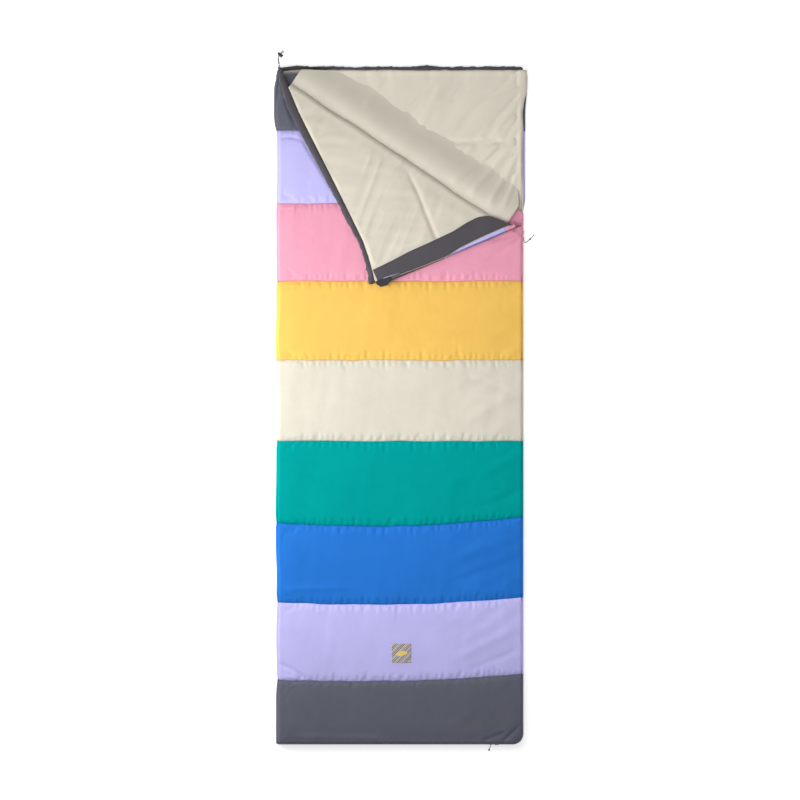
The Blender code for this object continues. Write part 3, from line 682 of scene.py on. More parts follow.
def quadsOfRows(rows, columns, first, last):
    i = np.arange(first, last)[:, None] * columns + np.arange(columns - 1)[None, :]
    return np.stack([i, i + 1, i + 1 + columns, i + columns], axis=-1).reshape(-1, 4)


# Twice as many points each way, or four times across, with smooth curves between the simulated
# ones.
def refine(x, y, z, acrossTwice):
    def once(a):
        mid = (a[:-1] + a[1:]) / 2
        mid[1:-1] = (-a[:-3] + 9 * a[1:-2] + 9 * a[2:-1] - a[3:]) / 16
        out = np.empty((a.shape[0] * 2 - 1, a.shape[1]))
        out[0::2], out[1::2] = a, mid
        return out
    made = [once(once(a).T).T for a in (x, y, z)]
    return [once(a.T).T for a in made] if acrossTwice else made


# The cloth of one whole slab, simulated and refined; flat is where it is pressed level.
def quiltSurface(seed, crown, base, flat, folds, fine, inset, bulge):
    x, y, stripe = quiltGrid(inset)
    z = base + puffedTop(x, y, crown, inset)
    pinned = np.zeros(x.shape, bool)
    pinned[0], pinned[-1], pinned[:, 0], pinned[:, -1] = True, True, True, True
    pinned[1:][np.diff(stripe) > 0] = True
    moved = inflate(x, y, z, pinned)
    x, y, z = refine(moved[..., 0], moved[..., 1], moved[..., 2], fine)
    edge, d = edgeProfile(x, y, quilt["edgeRadius"], inset)
    z = z + edge * (seamPuckers(x, y, seed) + folds(x, y))
    groove = seamDistance(x, y)
    z = z - edge * 0.0016 * np.exp(-((groove / 0.0022) ** 2))
    pressed = flat(x, y)
    z = z * (1 - pressed) + np.minimum(z - 0.002, frontTop - 0.0004) * pressed if base > 0.01 else z
    x = x + bulge(y) * smooth(0.3, 0.4, x) - leftBulge(y) * (1 - smooth(-0.4, -0.33, x))
    return x, y, z, stripe


# The folded side swells outwards near the head, where the corner is gathered.
def leftBulge(y):
    return (
        0.0085 * smooth(0.86, 0.95, y) * (1 - smooth(1.03, 1.085, y))
        + 0.0022 * smooth(-1.0, -0.9, y) * noise(y, np.zeros(np.shape(y)), 0.11, 905)
    )


def makeFront(finishes):
    base = frontBase + 0.0036
    x, y, z, stripe = quiltSurface(
        100, quilt["puff"] - frontBase - 0.0036, base, underFlap, frontFolds, True, quilt["frontInset"],
        lambda b: np.zeros(b.shape)
    )
    rows, columns = x.shape
    points = np.stack([x.ravel(), y.ravel(), z.ravel()], axis=1)
    past = creaseCoords(points[:, 0], points[:, 1])[1]
    tapered = np.array(points)
    ceiling = np.interp(past, [-foldInset, 0.0, foldInset + 0.007], [0.0528, 0.05, 0.0405])
    tapered[:, 2] = np.where(past > -foldInset, np.minimum(points[:, 2], ceiling), points[:, 2])
    starts = [int(np.argmax(stripe == k)) * 2 for k in range(9)] + [rows - 1]
    creasePoint = Vector((creaseHead.x, creaseHead.y, 0))
    made = []
    nearCut = (creasePoint + creaseOut * (foldInset + quilt["nearEdge"]), creaseOut)
    farCut = (creasePoint + creaseOut * (foldInset + quilt["farEdge"]), -creaseOut)
    low = np.array(points)
    low[:, 2] = np.minimum(low[:, 2], frontTop - 0.0002)
    low[:, 0] = np.minimum(low[:, 0], right - 0.004)
    floorLevel, recess = frontBase + 0.0034, 0.006
    for k, (name, colour) in enumerate(zip(stripeNames, stripeFinish)):
        faces = quadsOfRows(rows, columns, starts[k], starts[k + 1])
        near = pieceFromPatch(
            f"front_{name}", tapered, faces, floorLevel, finishes[colour], nearCut, None, recess
        )
        if near:
            nodes = (f"front_panel_{name}", "front_padding") if k == 4 else (f"front_panel_{name}",)
            made.append(settle(near, "front_quilt", nodes))
        if k < 6:
            continue
        far = pieceFromPatch(f"flap_{name}", low, faces, floorLevel, finishes[colour], farCut, foldOver, recess)
        if far:
            nodes = (f"flap_panel_{name}", "flap_padding") if k == 7 else (f"flap_panel_{name}",)
            made.append(settle(far, "flap", nodes))
    print(f"front and flap: {len(made)} pieces")
    return x, y, z


# The back's stripes: the same cloth, facing down and resting on the ground.
def makeBack(finishes):
    def headBulge(b):
        return 0.0095 * smooth(0.615, 0.68, b) + 0.007 * smooth(0.95, 1.06, b)

    x, y, z, stripe = quiltSurface(
        300, layer - 0.0052, 0.0, lambda a, b: np.zeros(a.shape), lambda a, b: 0.4 * frontFolds(a, b), False,
        quilt["backInset"], headBulge
    )
    z = layer - 0.0048 - np.clip(z, 0.0, layer - 0.005)
    rows, columns = x.shape
    points = np.stack([x.ravel(), y.ravel(), z.ravel()], axis=1)
    starts = [int(np.argmax(stripe == k)) * 2 for k in range(9)] + [rows - 1]
    for k, (name, colour) in enumerate(zip(stripeNames, stripeFinish)):
        faces = quadsOfRows(rows, columns, starts[k], starts[k + 1])[:, ::-1]
        piece = pieceFromPatch(
            f"back_{name}", points, faces, layer - 0.0046, finishes[colour], None, None, -0.005
        )
        nodes = (f"back_panel_{name}", "back_padding") if k == 4 else (f"back_panel_{name}",)
        settle(piece, "back_quilt", nodes)
    print("back: 9 pieces")


# Thin cloth and tubes from grids of points

# A mesh object from points and faces; the finish may be a list.
def addPiece(name, points, faces, finish):
    mesh = bpy.data.meshes.new(name)
    mesh.from_pydata([tuple(p) for p in points], [], [tuple(int(i) for i in f) for f in faces])
    mesh.update()
    mesh.polygons.foreach_set("use_smooth", [len(f) < 5 for f in faces])
    for one in finish if isinstance(finish, (list, tuple)) else [finish]:
        mesh.materials.append(one)
    return linkObject(name, mesh)


# Closed thin cloth: the grid, a copy set back by the thickness, and a rim. The grid's face looks up
# unless down.
def clothFromGrid(name, x, y, z, thickness, finish, down=False):
    points = np.stack([x, y, z], axis=-1)
    across, along = np.gradient(points, axis=1), np.gradient(points, axis=0)
    normal = np.cross(across, along)
    normal /= np.maximum(np.linalg.norm(normal, axis=-1, keepdims=True), 1e-12)
    if down:
        normal = -normal
    rows, columns = x.shape
    top = points.reshape(-1, 3)
    under = (points - normal * thickness).reshape(-1, 3)
    quads = quadsOfRows(rows, columns, 0, rows - 1)
    count = rows * columns
    rim = list(range(columns)) + [r * columns + columns - 1 for r in range(1, rows)]
    rim += (
        [(rows - 1) * columns + c for c in range(columns - 2, -1, -1)]
        + [r * columns for r in range(rows - 2, 0, -1)]
    )
    rim = np.array(rim)
    following = np.roll(rim, -1)
    sides = np.stack([following, rim, rim + count, following + count], axis=-1)
    faces = np.concatenate([quads, quads[:, ::-1] + count, sides])
    if down:
        faces = faces[:, ::-1]
    return addPiece(name, np.concatenate([top, under]), faces, finish)


# A closed tube through rings of points, each an array of the same length, running anticlockwise as
# seen from its start.
def tubeFromRings(name, rings, finish):
    count = len(rings[0])
    points = np.concatenate(rings)
    faces = []
    for r in range(len(rings) - 1):
        for c in range(count):
            d = (c + 1) % count
            faces.append((r * count + c, r * count + d, (r + 1) * count + d, (r + 1) * count + c))
    last = (len(rings) - 1) * count
    faces.append(tuple(range(count - 1, -1, -1)))
    faces.append(tuple(last + c for c in range(count)))
    obj = addPiece(name, points, faces, finish)
    bm = bmesh.new()
    bm.from_mesh(obj.data)
    bmesh.ops.recalc_face_normals(bm, faces=bm.faces)
    writeBack(obj, bm)
    return obj


# A drawcord hem: a soft flattened tube with gathers whose depth is lumps(t).
def gatheredTube(
    name, start, end, halfWide, halfHigh, lumps, seed, finish, bow=None, ringCount=200, around=28, wave=0.0,
    wide=None
):
    start, end = Vector(start), Vector(end)
    run = end - start
    length = run.length
    run.normalize()
    side = Vector((-run.y, run.x, 0))
    rings = []
    angle = np.linspace(0, 2 * math.pi, around, endpoint=False)
    for i in range(ringCount):
        t = i / (ringCount - 1)
        s = t * length
        depth = float(lumps(t))
        broad = halfWide * (wide(t) if wide else 1.0)
        taper = min(1.0, 0.35 + 0.65 * math.sqrt(min(t, 1 - t) / 0.012)) if min(t, 1 - t) < 0.012 else 1.0
        big = noise(np.array([s]), np.array([0.3]), 0.034, seed)[0]
        small = noise(s + 0.004 * np.sin(angle), 0.012 * angle, 0.0105, seed + 1)
        tiny = noise(s * np.ones(around), 0.01 * angle, 0.0048, seed + 2)
        swell = 1 + depth * (0.2 * big + 0.26 * small + 0.1 * tiny)
        squareness = 0.72
        cx = np.sign(np.cos(angle)) * np.abs(np.cos(angle)) ** squareness
        cz = np.sign(np.sin(angle)) * np.abs(np.sin(angle)) ** squareness
        middle = (
            start + run * s
            + side * (
                (bow(t) if bow else 0.0)
                + wave * depth * noise(np.array([s]), np.array([7.0]), 0.06, seed + 5)[0]
            )
        )
        px = middle.x + side.x * broad * taper * swell * cx
        py = middle.y + side.y * broad * taper * swell * cx
        pz = middle.z + halfHigh * taper * (1 + depth * (0.1 * big + 0.14 * small)) * cz
        rings.append(np.stack([px, py, np.maximum(pz, 0.0003)], axis=-1))
    return tubeFromRings(name, rings, finish)


# The corner's zip edge: charcoal band, piping, and the shell turned over at the edge

bandStep = 0.00325  # metres in one step of bandRun, which counts from the head
bandRun = (0, 9, 24, 42, 57, 66, 77, 84, 91, 106, 112, 120, 130, 137, 145, 150)
bandOuter = (
    0.0135, 0.0115, 0.009, 0.006, 0.0045, 0.0045, 0.005, 0.009, 0.0131, 0.0165, 0.0176, 0.0183, 0.0191, 0.0193,
    0.019, 0.012
)
bandInner = (
    0.056, 0.0577, 0.0599, 0.0655, 0.0668, 0.0672, 0.0692, 0.0697, 0.0704, 0.0791, 0.0808, 0.0821, 0.0739,
    0.054, 0.0265, 0.013
)
hemEdgeX = (-0.395, -0.345, -0.29, -0.22, -0.153, 0.05, 0.2445, 0.303, 0.345, 0.382, 0.4)
hemEdgeY = (1.106, 1.115, 1.1135, 1.1135, 1.1093, 1.095, 1.0835, 1.0875, 1.0931, 1.0995, 1.102)
hemHalfX = (-0.37, -0.33, -0.256, -0.16, 0.05, 0.24, 0.3, 0.37)
hemHalfWide = (0.006, 0.0095, 0.014, 0.0125, 0.0098, 0.008, 0.0078, 0.0088)


# Where the corner's lining meets its head hem, in the closed quilt's plan.
def hemEdge(x):
    return np.interp(x, hemEdgeX, hemEdgeY)


# Distances in from the zip edge of the band's outer and inner edges.
def bandEdges(y):
    run = (head - np.asarray(y)) / bandStep
    kernel = np.linspace(-3, 3, 7)
    outer = np.mean([np.interp(run + k, bandRun, bandOuter) for k in kernel], axis=0)
    inner = np.mean([np.interp(run + k, bandRun, bandInner) for k in kernel], axis=0)
    return outer, np.maximum(inner, outer + 0.0012)


# Lining: pillows between its seams, long diagonal folds, gathers at the hem

liningLook = {
    "up": 0.0042, "down": 0.006, "seamDepth": 0.0052, "seamWidth": 0.0075, "cloth": 0.001,
    "rollRadius": 0.017, "rollDrop": 0.0205, "shelfDrop": 0.015, "shoulderReach": 0.125, "shoulderFoot": 0.0185,
}
liningSeams = (-0.93, -0.676, -0.416, -0.146, 0.117, 0.374, 0.6305, 0.86)


def stretched(x, y, degrees, longScale, shortScale, seed):
    a = math.radians(degrees)
    u = (x * math.cos(a) + y * math.sin(a)) / longScale
    v = (-x * math.sin(a) + y * math.cos(a)) / shortScale
    return noise(u, v, 1.0, seed)


def sharp(value, power=0.7):
    return 1 - 2 * np.abs(value) ** power


# Height of the lining about its middle level, in the closed quilt's own plan.
def liningRelief(x, y, seed, diagonal):
    best = np.min([np.abs(y - s - 0.002 * noise(x, y * 0 + s, 0.06, 9)) for s in liningSeams], axis=0)
    relief = (
        0.0022 - liningLook["seamDepth"] * np.exp(-((best / liningLook["seamWidth"]) ** 2))
        - 0.0012 * np.exp(-best / 0.03)
    )
    gathers = noise(x + 0.3 * y, y * 0 + 0.5, 0.016, seed) * np.exp(-best / 0.02) * smooth(0, 0.004, best)
    relief = relief + 0.0013 * gathers
    hem = np.exp(-np.clip(1.08 - y, 0, 1) / 0.03)
    relief = relief + 0.0018 * hem * noise(x + 0.15 * y, y * 0 + 2.5, 0.017, seed + 1)
    relief = relief + 0.0016 * stretched(x, y, 60, 0.2, 0.05, seed + 2)
    relief = relief + diagonal * 0.0032 * sharp(stretched(x, y, 43, 0.22, 0.034, seed + 3), 0.8)
    relief = relief + diagonal * 0.0014 * stretched(x, y, 50, 0.1, 0.017, seed + 4)
    return np.clip(relief, -liningLook["down"], liningLook["up"])


liningFolds = (
    ((0.379, 1.078), (0.175, 0.888), -0.0042, 0.009, -0.006),
    ((0.398, 1.05), (0.205, 0.885), 0.0044, 0.012, -0.004),
    ((0.385, 1.01), (0.285, 0.905), -0.0036, 0.007, 0.0), ((0.398, 1.0), (0.29, 0.868), 0.0038, 0.009, 0.0),
    ((0.398, 0.96), (0.34, 0.872), -0.003, 0.007, 0.0), ((0.318, 0.853), (0.14, 0.705), 0.0042, 0.012, 0.0),
    ((0.34, 0.848), (0.17, 0.69), -0.0038, 0.008, 0.0), ((0.368, 0.851), (0.205, 0.662), 0.0044, 0.01, 0.0),
    ((0.38, 0.835), (0.24, 0.65), -0.004, 0.007, 0.0), ((0.386, 0.822), (0.278, 0.64), 0.0042, 0.009, 0.0),
    ((0.385, 0.78), (0.305, 0.638), -0.0038, 0.007, 0.0), ((0.388, 0.77), (0.332, 0.634), 0.0036, 0.008, 0.0),
    ((0.1, 1.07), (0.02, 0.92), -0.0026, 0.009, 0.0), ((0.14, 1.06), (0.06, 0.9), 0.0028, 0.012, 0.0),
    ((-0.05, 1.07), (-0.12, 0.97), 0.0022, 0.01, 0.0), ((0.22, 1.075), (0.17, 0.99), -0.0026, 0.008, 0.0),
)


# Soft folds of the lining near the fold and on the shown part of the back.
def shoulderRelief(x, y):
    total = np.zeros(np.shape(x))
    for a, b, height, width, bow in liningFolds:
        total = total + ridge(x, y, a, b, height, width, bow)
    return total


# Short creases square to the fold, in the two stretches where the roll is tightest.
def creasePuckers(s, t):
    where = np.exp(-(((s - 0.17) / 0.055) ** 2)) + np.exp(-(((s - 0.5) / 0.085) ** 2)) + 0.3
    near = np.exp(-((t / 0.034) ** 2))
    return where * near * 0.0021 * noise(s + 0.25 * t, t * 0, 0.0125, 31)


# The corner's lining with its rounded edge at the fold, and the soft shoulder that runs from there
# to the back.
def makeFlapLining(finish, brightenedFinish):
    apexS, apexT, startS, endS = 0.6362, 0.4222, -0.02, 0.916
    columns = 200
    u = np.linspace(0, 1, columns)
    rows = []
    top = 2 * creaseHeight - frontBase
    inset = foldInset + 0.002
    radius, cloth = liningLook["rollRadius"], liningLook["cloth"]
    flatFrom = inset + radius

    def edgesAt(t):
        low = startS
        for _ in range(12):
            px = creaseHead.x + creaseAlong.x * low + creaseOut.x * t
            low = (creaseHead.y + creaseOut.y * t - float(hemEdge(px))) / -creaseAlong.y
        return low, endS - (endS - apexS) * t / apexT

    def place(s, t, z):
        return np.stack([*(creaseHead[i] + creaseAlong[i] * s - creaseOut[i] * t for i in (0, 1)), z], axis=-1)

    for t in flatFrom + np.linspace(1.0, 0.0, 86) ** 1.1 * (apexT * 0.985 - flatFrom):
        low, high = edgesAt(t)
        s = low + (high - low) * u
        px, py = (creaseHead[i] + creaseAlong[i] * s + creaseOut[i] * t for i in (0, 1))
        edgeIn = np.minimum((s - low), (high - s))
        relief = liningRelief(px, py, 400, 0.45)
        relief = (
            relief + 0.002 * stretched(px, py, 96, 0.22, 0.045, 77)
            + 0.0013 * stretched(px, py, 118, 0.12, 0.022, 78)
        )
        hemGathers = np.exp(-((s - low) / 0.03)) * (0.35 + 0.65 * smooth(0.22, 0.32, t))
        relief = relief + 0.0034 * hemGathers * noise(s * 0.35 + t, s * 0.1, 0.014, 79)
        relief = relief * smooth(0.0, 0.02, edgeIn) * smooth(
            0.0, 0.03, apexT - t + 0.008
        ) * smooth(0.0, 0.05, t - flatFrom)
        clear = smooth(-0.004, 0.014, (right - px) - bandEdges(py)[1])
        relief = (
            np.where(relief > 0, relief * clear, relief)
            + creasePuckers(s, np.full(s.shape, t - flatFrom)) * clear - 0.0012 * (1 - clear)
        )
        rows.append(place(s, t, top + np.clip(relief, -0.005, 0.0046)))
    low, high = edgesAt(flatFrom)
    s = low + (high - low) * u
    waver = 0.004 * noise(s, s * 0, 0.1, 32) * smooth(0.0, 0.06, s) * (1 - smooth(0.84, 0.91, s))
    pinch = creasePuckers(s, np.zeros(s.shape))
    for angle in np.radians(np.linspace(8, 90, 12)):
        t = inset + radius * (1 - math.sin(angle)) + waver * math.sin(angle)
        rows.append(place(s, t, top - liningLook["rollDrop"] * (1 - math.cos(angle)) + pinch))
    edge = clothFromGrid("flap_lining_roll", *np.moveaxis(np.array(rows)[::-1], -1, 0), cloth, finish)
    settle(edge, "flap", ("flap_lining",))
    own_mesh(edge)
    rows = []
    shelf, reach, lowEnd = top - liningLook["shelfDrop"], liningLook["shoulderReach"], liningLook["shoulderFoot"]
    for out in np.concatenate([np.linspace(-0.0345, 0.0, 9), np.linspace(0.005, reach, 34)]):
        first = max(low, (creaseHead.y + creaseOut.y * out - 1.093) / -creaseAlong.y)
        last = min(high, (0.386 - creaseHead.x - creaseOut.x * out) / creaseAlong.x)
        s = first + (last - first) * u
        ground = place(s, -out, s * 0)
        fade = float(smooth(-0.03, 0.01, out))
        folds = np.clip(shoulderRelief(ground[..., 0], ground[..., 1]), -0.0008, 0.005)
        z = (
            shelf + (lowEnd - shelf) * float(smooth(-0.01, reach, out)) + folds * fade
            + 0.5 * pinch * (1 - fade)
        )
        rows.append(place(s, -out, np.maximum(z, lowEnd - 0.001)))
    # The shoulder takes the lighter copy of the lining colour, painted light against the roll's shade.
    shoulder = clothFromGrid("shoulder_lining", *np.moveaxis(np.array(rows)[::-1], -1, 0), cloth, brightenedFinish)
    settle(shoulder, "front_quilt")
    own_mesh(shoulder)


backLiningLook = {"left": -0.3975, "right": 0.3935, "foot": -1.088, "head": 1.096, "rimDrop": 0.005}


def makeBackLining(finish):
    low, high, start, end, rimDrop = backLiningLook.values()
    y = np.linspace(start, end, 440)
    u = np.linspace(0, 1, 170)
    xx, yy = np.meshgrid(u, y)
    open_ = smooth(0.6, 0.65, yy)
    bulge = open_ * (0.0085 + 0.002 * noise(yy, yy * 0, 0.045, 61)) + 0.013 * smooth(0.95, 1.06, yy)
    xx = low + u[None, :] * (high - low + bulge)
    out = creaseCoords(xx, yy)[1]
    shown = smooth(-0.03, 0.05, out)
    relief = liningRelief(xx, yy, 200, 0.25 + 0.75 * smooth(-0.05, 0.2, xx))
    relief = relief + shown * 0.0014 * stretched(xx, yy, 78, 0.18, 0.04, 67) * (1 - smooth(0.0, 0.25, xx))
    seamNear = np.min([np.abs(yy - s) for s in liningSeams], axis=0)
    relief = relief + shown * shoulderRelief(xx, yy) * smooth(0.0, 0.012, seamNear)
    level = layer - 0.0006
    up = np.clip(relief, -0.006, 0.0062)
    z = level + np.where(up > 0, up * shown, up)
    z = np.maximum(z, level + (0.0046 + 0.0008 * noise(xx, yy, 0.03, 62)) * smooth(0.38, 0.39, xx) * open_)
    rightRim = np.clip(((high + bulge) - xx) / 0.012, 0, 1)
    z = z - (1 - np.sqrt(np.clip(1 - (1 - rightRim) ** 2, 0, 1))) * rimDrop
    yy = yy + 0.0022 * noise(xx, yy * 0, 0.05, 63) * smooth(1.05, 1.09, yy)
    z = z + 0.002 * smooth(1.07, 1.09, yy) * shown
    headRim = np.clip((end - yy) / 0.007, 0, 1)
    z = z - (1 - np.sqrt(np.clip(1 - (1 - headRim) ** 2, 0, 1))) * rimDrop
    # The back lining takes the lighter copy of the lining colour, painted light against the shade of the fold's
    # roll.
    obj = clothFromGrid("back_lining_cloth", xx, yy, z, liningLook["cloth"], finish)
    settle(obj, "back_quilt", ("back_lining",))
    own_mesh(obj)


frontLiningLook = {"left": -0.396, "right": 0.388, "foot": -1.088, "head": 1.079, "cloth": 0.0006}


# The front's own lining, seen when the quilt is opened; it stops at the crease.
def makeFrontLining(finish):
    low = frontLiningLook["left"]
    y = np.linspace(frontLiningLook["foot"], frontLiningLook["head"], 380)
    u = np.linspace(0, 1, 130)
    side = np.minimum(
        frontLiningLook["right"],
        creaseHead.x + (creaseHead.y - y) * (creaseAlong.x / -creaseAlong.y) + foldInset
    )
    xx = low + u[None, :] * (side[:, None] - low)
    yy = np.repeat(y[:, None], len(u), axis=1)
    relief = liningRelief(xx, yy, 500, 0.3)
    out = creaseCoords(xx, yy)[1]
    keep = smooth(0.0, 0.05, -out - 0.012) * smooth(0, 0.02, xx - low) * smooth(
        0, 0.02, np.minimum(side[:, None], 0.34) - xx
    )
    z = frontBase + 0.0004 - np.clip(relief, -0.0002, 0.0034) * keep
    obj = clothFromGrid("front_lining_cloth", xx, yy, z, frontLiningLook["cloth"], finish, down=True)
    settle(obj, "front_quilt", ("front_lining",))


def liftFlap(obj):
    obj.data.transform(foldOver)
    obj.data.update()


bandLook = {
    "foot": 0.614, "head": 1.0905, "rise": 0.0018, "crown": 0.001, "cloth": 0.0009, "piping": 0.0024,
    "cuffDrop": 0.0144
}
cuffs = (("charcoal", 0.862, 1.085), ("lilac", 0.642, 0.862), ("pink", 0.609, 0.642))


def makeBand(finishes):
    y = np.linspace(bandLook["foot"], bandLook["head"], 210)
    outer, inner = bandEdges(y)
    u = np.linspace(0, 1, 26)
    xx = right - (outer[:, None] + (inner - outer)[:, None] * u[None, :])
    yy = np.repeat(y[:, None], len(u), axis=1)
    wave = 0.0007 * stretched(xx, yy, 8, 0.05, 0.04, 91) + 0.0004 * stretched(xx, yy, 78, 0.1, 0.018, 92)
    rise = bandLook["rise"] + wave + bandLook["crown"] * np.sin(math.pi * u)[None, :]
    z = frontBase - 0.0012 - rise
    band = clothFromGrid(
        "flap_band", xx[:, ::-1], yy, z[:, ::-1], bandLook["cloth"], finishes["band"], down=True
    )
    liftFlap(band)
    settle(band, "flap", ("flap_facing",))
    line = [Vector((right - o + 0.0004, v, frontBase - 0.003)) for v, o in zip(y[4:180:4], outer[4:180:4])]
    line = [foldOver @ p for p in line]
    piping = cordMesh("flap_band_piping", line, bandLook["piping"])
    piping.data.materials.append(finishes["piping"])
    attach(piping, "flap")
    for finish, low, high in cuffs:
        y = np.linspace(low, high, max(8, int((high - low) / 0.004)))
        outer, inner = bandEdges(y)
        u = np.linspace(0, 1, 16)
        reach = outer + 0.006
        start = 0.0008
        d = start + (reach - start)[:, None] * u[None, :]
        xx, yy = right - d, np.repeat(y[:, None], len(u), axis=1)
        rounded = np.sqrt(np.clip(1 - (1 - np.clip(u / 0.35, 0, 1)) ** 2, 0, 1))[None, :]
        lift = bandLook["cuffDrop"] * rounded - 0.0006 * np.clip((u - 0.5) * 2, 0, 1)[None, :]
        lift = (
            lift + 0.001 * stretched(xx, yy, 84, 0.14, 0.014, 95) * rounded
            + 0.0008 * noise(yy, yy * 0, 0.03, 96) * rounded
        )
        z = frontBase + 0.0128 - lift
        cuff = clothFromGrid(
            f"flap_cuff_{finish}", xx[:, ::-1], yy, z[:, ::-1], bandLook["cloth"], finishes[finish], down=True
        )
        liftFlap(cuff)
        settle(cuff, "flap")


tabLook = {
    "level": frontBase - 0.0068, "thickness": 0.001, "bevel": 0.0003,
    "cover": (
        (0.39, 1.0975), (0.3815, 1.0965), (0.3845, 1.0475), (0.399, 1.0495), (0.408, 1.0685), (0.4045, 1.089)
    ),
    "pad": ((0.385, 1.07), (0.3805, 1.07), (0.384, 1.014), (0.389, 1.014)),
}


# The closure tab at the corner, with the edge of its loop pad showing beside it; the pad's pale grey is painted
# highlight for the lit top edge of the black tab.
def makeTab(finishes):
    level, thickness = tabLook["level"], tabLook["thickness"]
    for name, corners, low, high, finish, node, slotName in (
        ("closure_tab_cover", tabLook["cover"], level - thickness, level, "tape", "closure_tab", "facing"),
        (
            "closure_tab_pad_highlight", tabLook["pad"], level + 0.0001, level + thickness, "loops", "tab_hook_pad",
            "hook_pad"
        ),
    ):
        count = len(corners)
        points = [(x, y, z) for z in (low, high) for x, y in corners]
        faces = [tuple(range(count - 1, -1, -1)), tuple(range(count, 2 * count))]
        faces += [(i, (i + 1) % count, (i + 1) % count + count, i + count) for i in range(count)]
        obj = addPiece(name, points, faces, finishes[finish])
        bm = bmesh.new()
        bm.from_mesh(obj.data)
        bmesh.ops.recalc_face_normals(bm, faces=bm.faces)
        bmesh.ops.bevel(bm, geom=bm.edges[:], offset=tabLook["bevel"], segments=2, affect="EDGES")
        writeBack(obj, bm)
        liftFlap(obj)
        settle(obj, "closure_tab", (node,))


# Hems, draft tube, side seam and corner

hemLook = {
    "backStart": (-0.396, 1.0985, 0.0116), "backEnd": (0.401, 1.1, 0.0116), "backHalf": (0.0082, 0.0114),
    "backGathers": 0.95,
    "flapRun": (-0.37, 0.385), "flapLine": 1.0905, "flapHeight": 0.0417, "flapHalf": (0.0108, 0.0113),
    "cornerStart": (-0.3985, 1.07, 0.015), "cornerEnd": (-0.384, 1.102, 0.015), "cornerHalf": (0.01, 0.014),
    "fanCentre": (-0.3945, 1.101), "fanReach": 0.135, "fanHeight": 0.053,
}


def makeHems(finishes):
    cloth = finishes["hem"]
    back = gatheredTube(
        "back_head_hem_cloth", hemLook["backStart"], hemLook["backEnd"], *hemLook["backHalf"],
        lambda t: hemLook["backGathers"], 700, cloth, ringCount=330, wave=0.004
    )
    settle(back, "back_quilt", ("back_head_hem",))
    first, last = hemLook["flapRun"]
    lineY, lineZ = hemLook["flapLine"], hemLook["flapHeight"]

    def reachOut(t):
        x = first + (last - first) * t
        return float(hemEdge(x) + np.interp(x, hemHalfX, hemHalfWide)) - lineY

    def spread(t):
        return float(np.interp(first + (last - first) * t, hemHalfX, hemHalfWide)) / 0.01

    def gathers(t):
        return 0.12 + 0.85 * float(smooth(0.5, 0.78, t))

    strip = gatheredTube(
        "flap_head_hem_cloth", (first, lineY, lineZ), (last, lineY, lineZ), *hemLook["flapHalf"], gathers, 720,
        cloth, bow=reachOut, ringCount=340, wave=0.003, wide=spread
    )
    liftFlap(strip)
    settle(strip, "flap", ("flap_head_hem",))
    corner = gatheredTube(
        "corner_gather", hemLook["cornerStart"], hemLook["cornerEnd"], *hemLook["cornerHalf"], lambda t: 1.0,
        740, cloth, ringCount=70, wave=0.004
    )
    settle(corner, "back_quilt")
    (fanX, fanY), reach = hemLook["fanCentre"], hemLook["fanReach"]
    r, angle = np.meshgrid(np.linspace(0.0, reach, 60), np.radians(np.linspace(-96, -58, 90)), indexing="ij")
    x, y = fanX + r * np.cos(angle), fanY + r * np.sin(angle)
    folds = noise(angle * 0.16, r * 0.08, 0.011, 751) + 0.5 * noise(angle * 0.16, r * 0.05, 0.005, 752)
    z = hemLook["fanHeight"] + 0.0036 * smooth(0, 0.03, r) - 0.009 * smooth(0.085, reach, r)
    z = z + 0.003 * folds * smooth(0.0, 0.02, r) * (1 - smooth(0.06, 0.13, r))
    x = np.maximum(x, -0.4045 + 0.003 * np.abs(folds))
    fan = clothFromGrid("corner_fan", x, y, z, 0.001, finishes["charcoal"])
    if sum(face.normal.z * face.area for face in fan.data.polygons[:2000]) < 0:
        fan.data.flip_normals()
    settle(fan, "front_quilt")


tubeLook = {"foot": -1.07, "head": 1.0, "inner": 0.346, "wide": 0.0425, "swell": 0.0046, "ceiling": 0.0262}


# A padded tube sewn beside the zip, in the lining's cloth.
def makeDraftTube(finishes):
    low, high = tubeLook["foot"], tubeLook["head"]
    yy, uu = np.meshgrid(np.linspace(low, high, 420), np.linspace(0, 1, 30), indexing="ij")
    xx = tubeLook["inner"] + uu * tubeLook["wide"]
    profile = np.sin(math.pi * np.clip((uu - 0.18) / 0.82, 0, 1)) ** 0.6
    ends = smooth(0, 0.02, yy - low) * smooth(0, 0.02, high - yy)
    wrinkles = 0.0012 * noise(yy + 0.2 * uu * 0.04, uu * 0.04, 0.016, 801) * profile
    z = layer - 0.004 + ends * (tubeLook["swell"] * profile + wrinkles)
    tube = clothFromGrid(
        "draft_tube_cloth", xx, yy, np.minimum(z, tubeLook["ceiling"]), liningLook["cloth"], finishes["lining"]
    )
    settle(tube, "back_quilt", ("draft_tube",))


sideLook = {"bulge": 0.0052, "halfHigh": 0.0226, "waist": 0.42, "waistWidth": 0.014, "cloth": 0.0012}


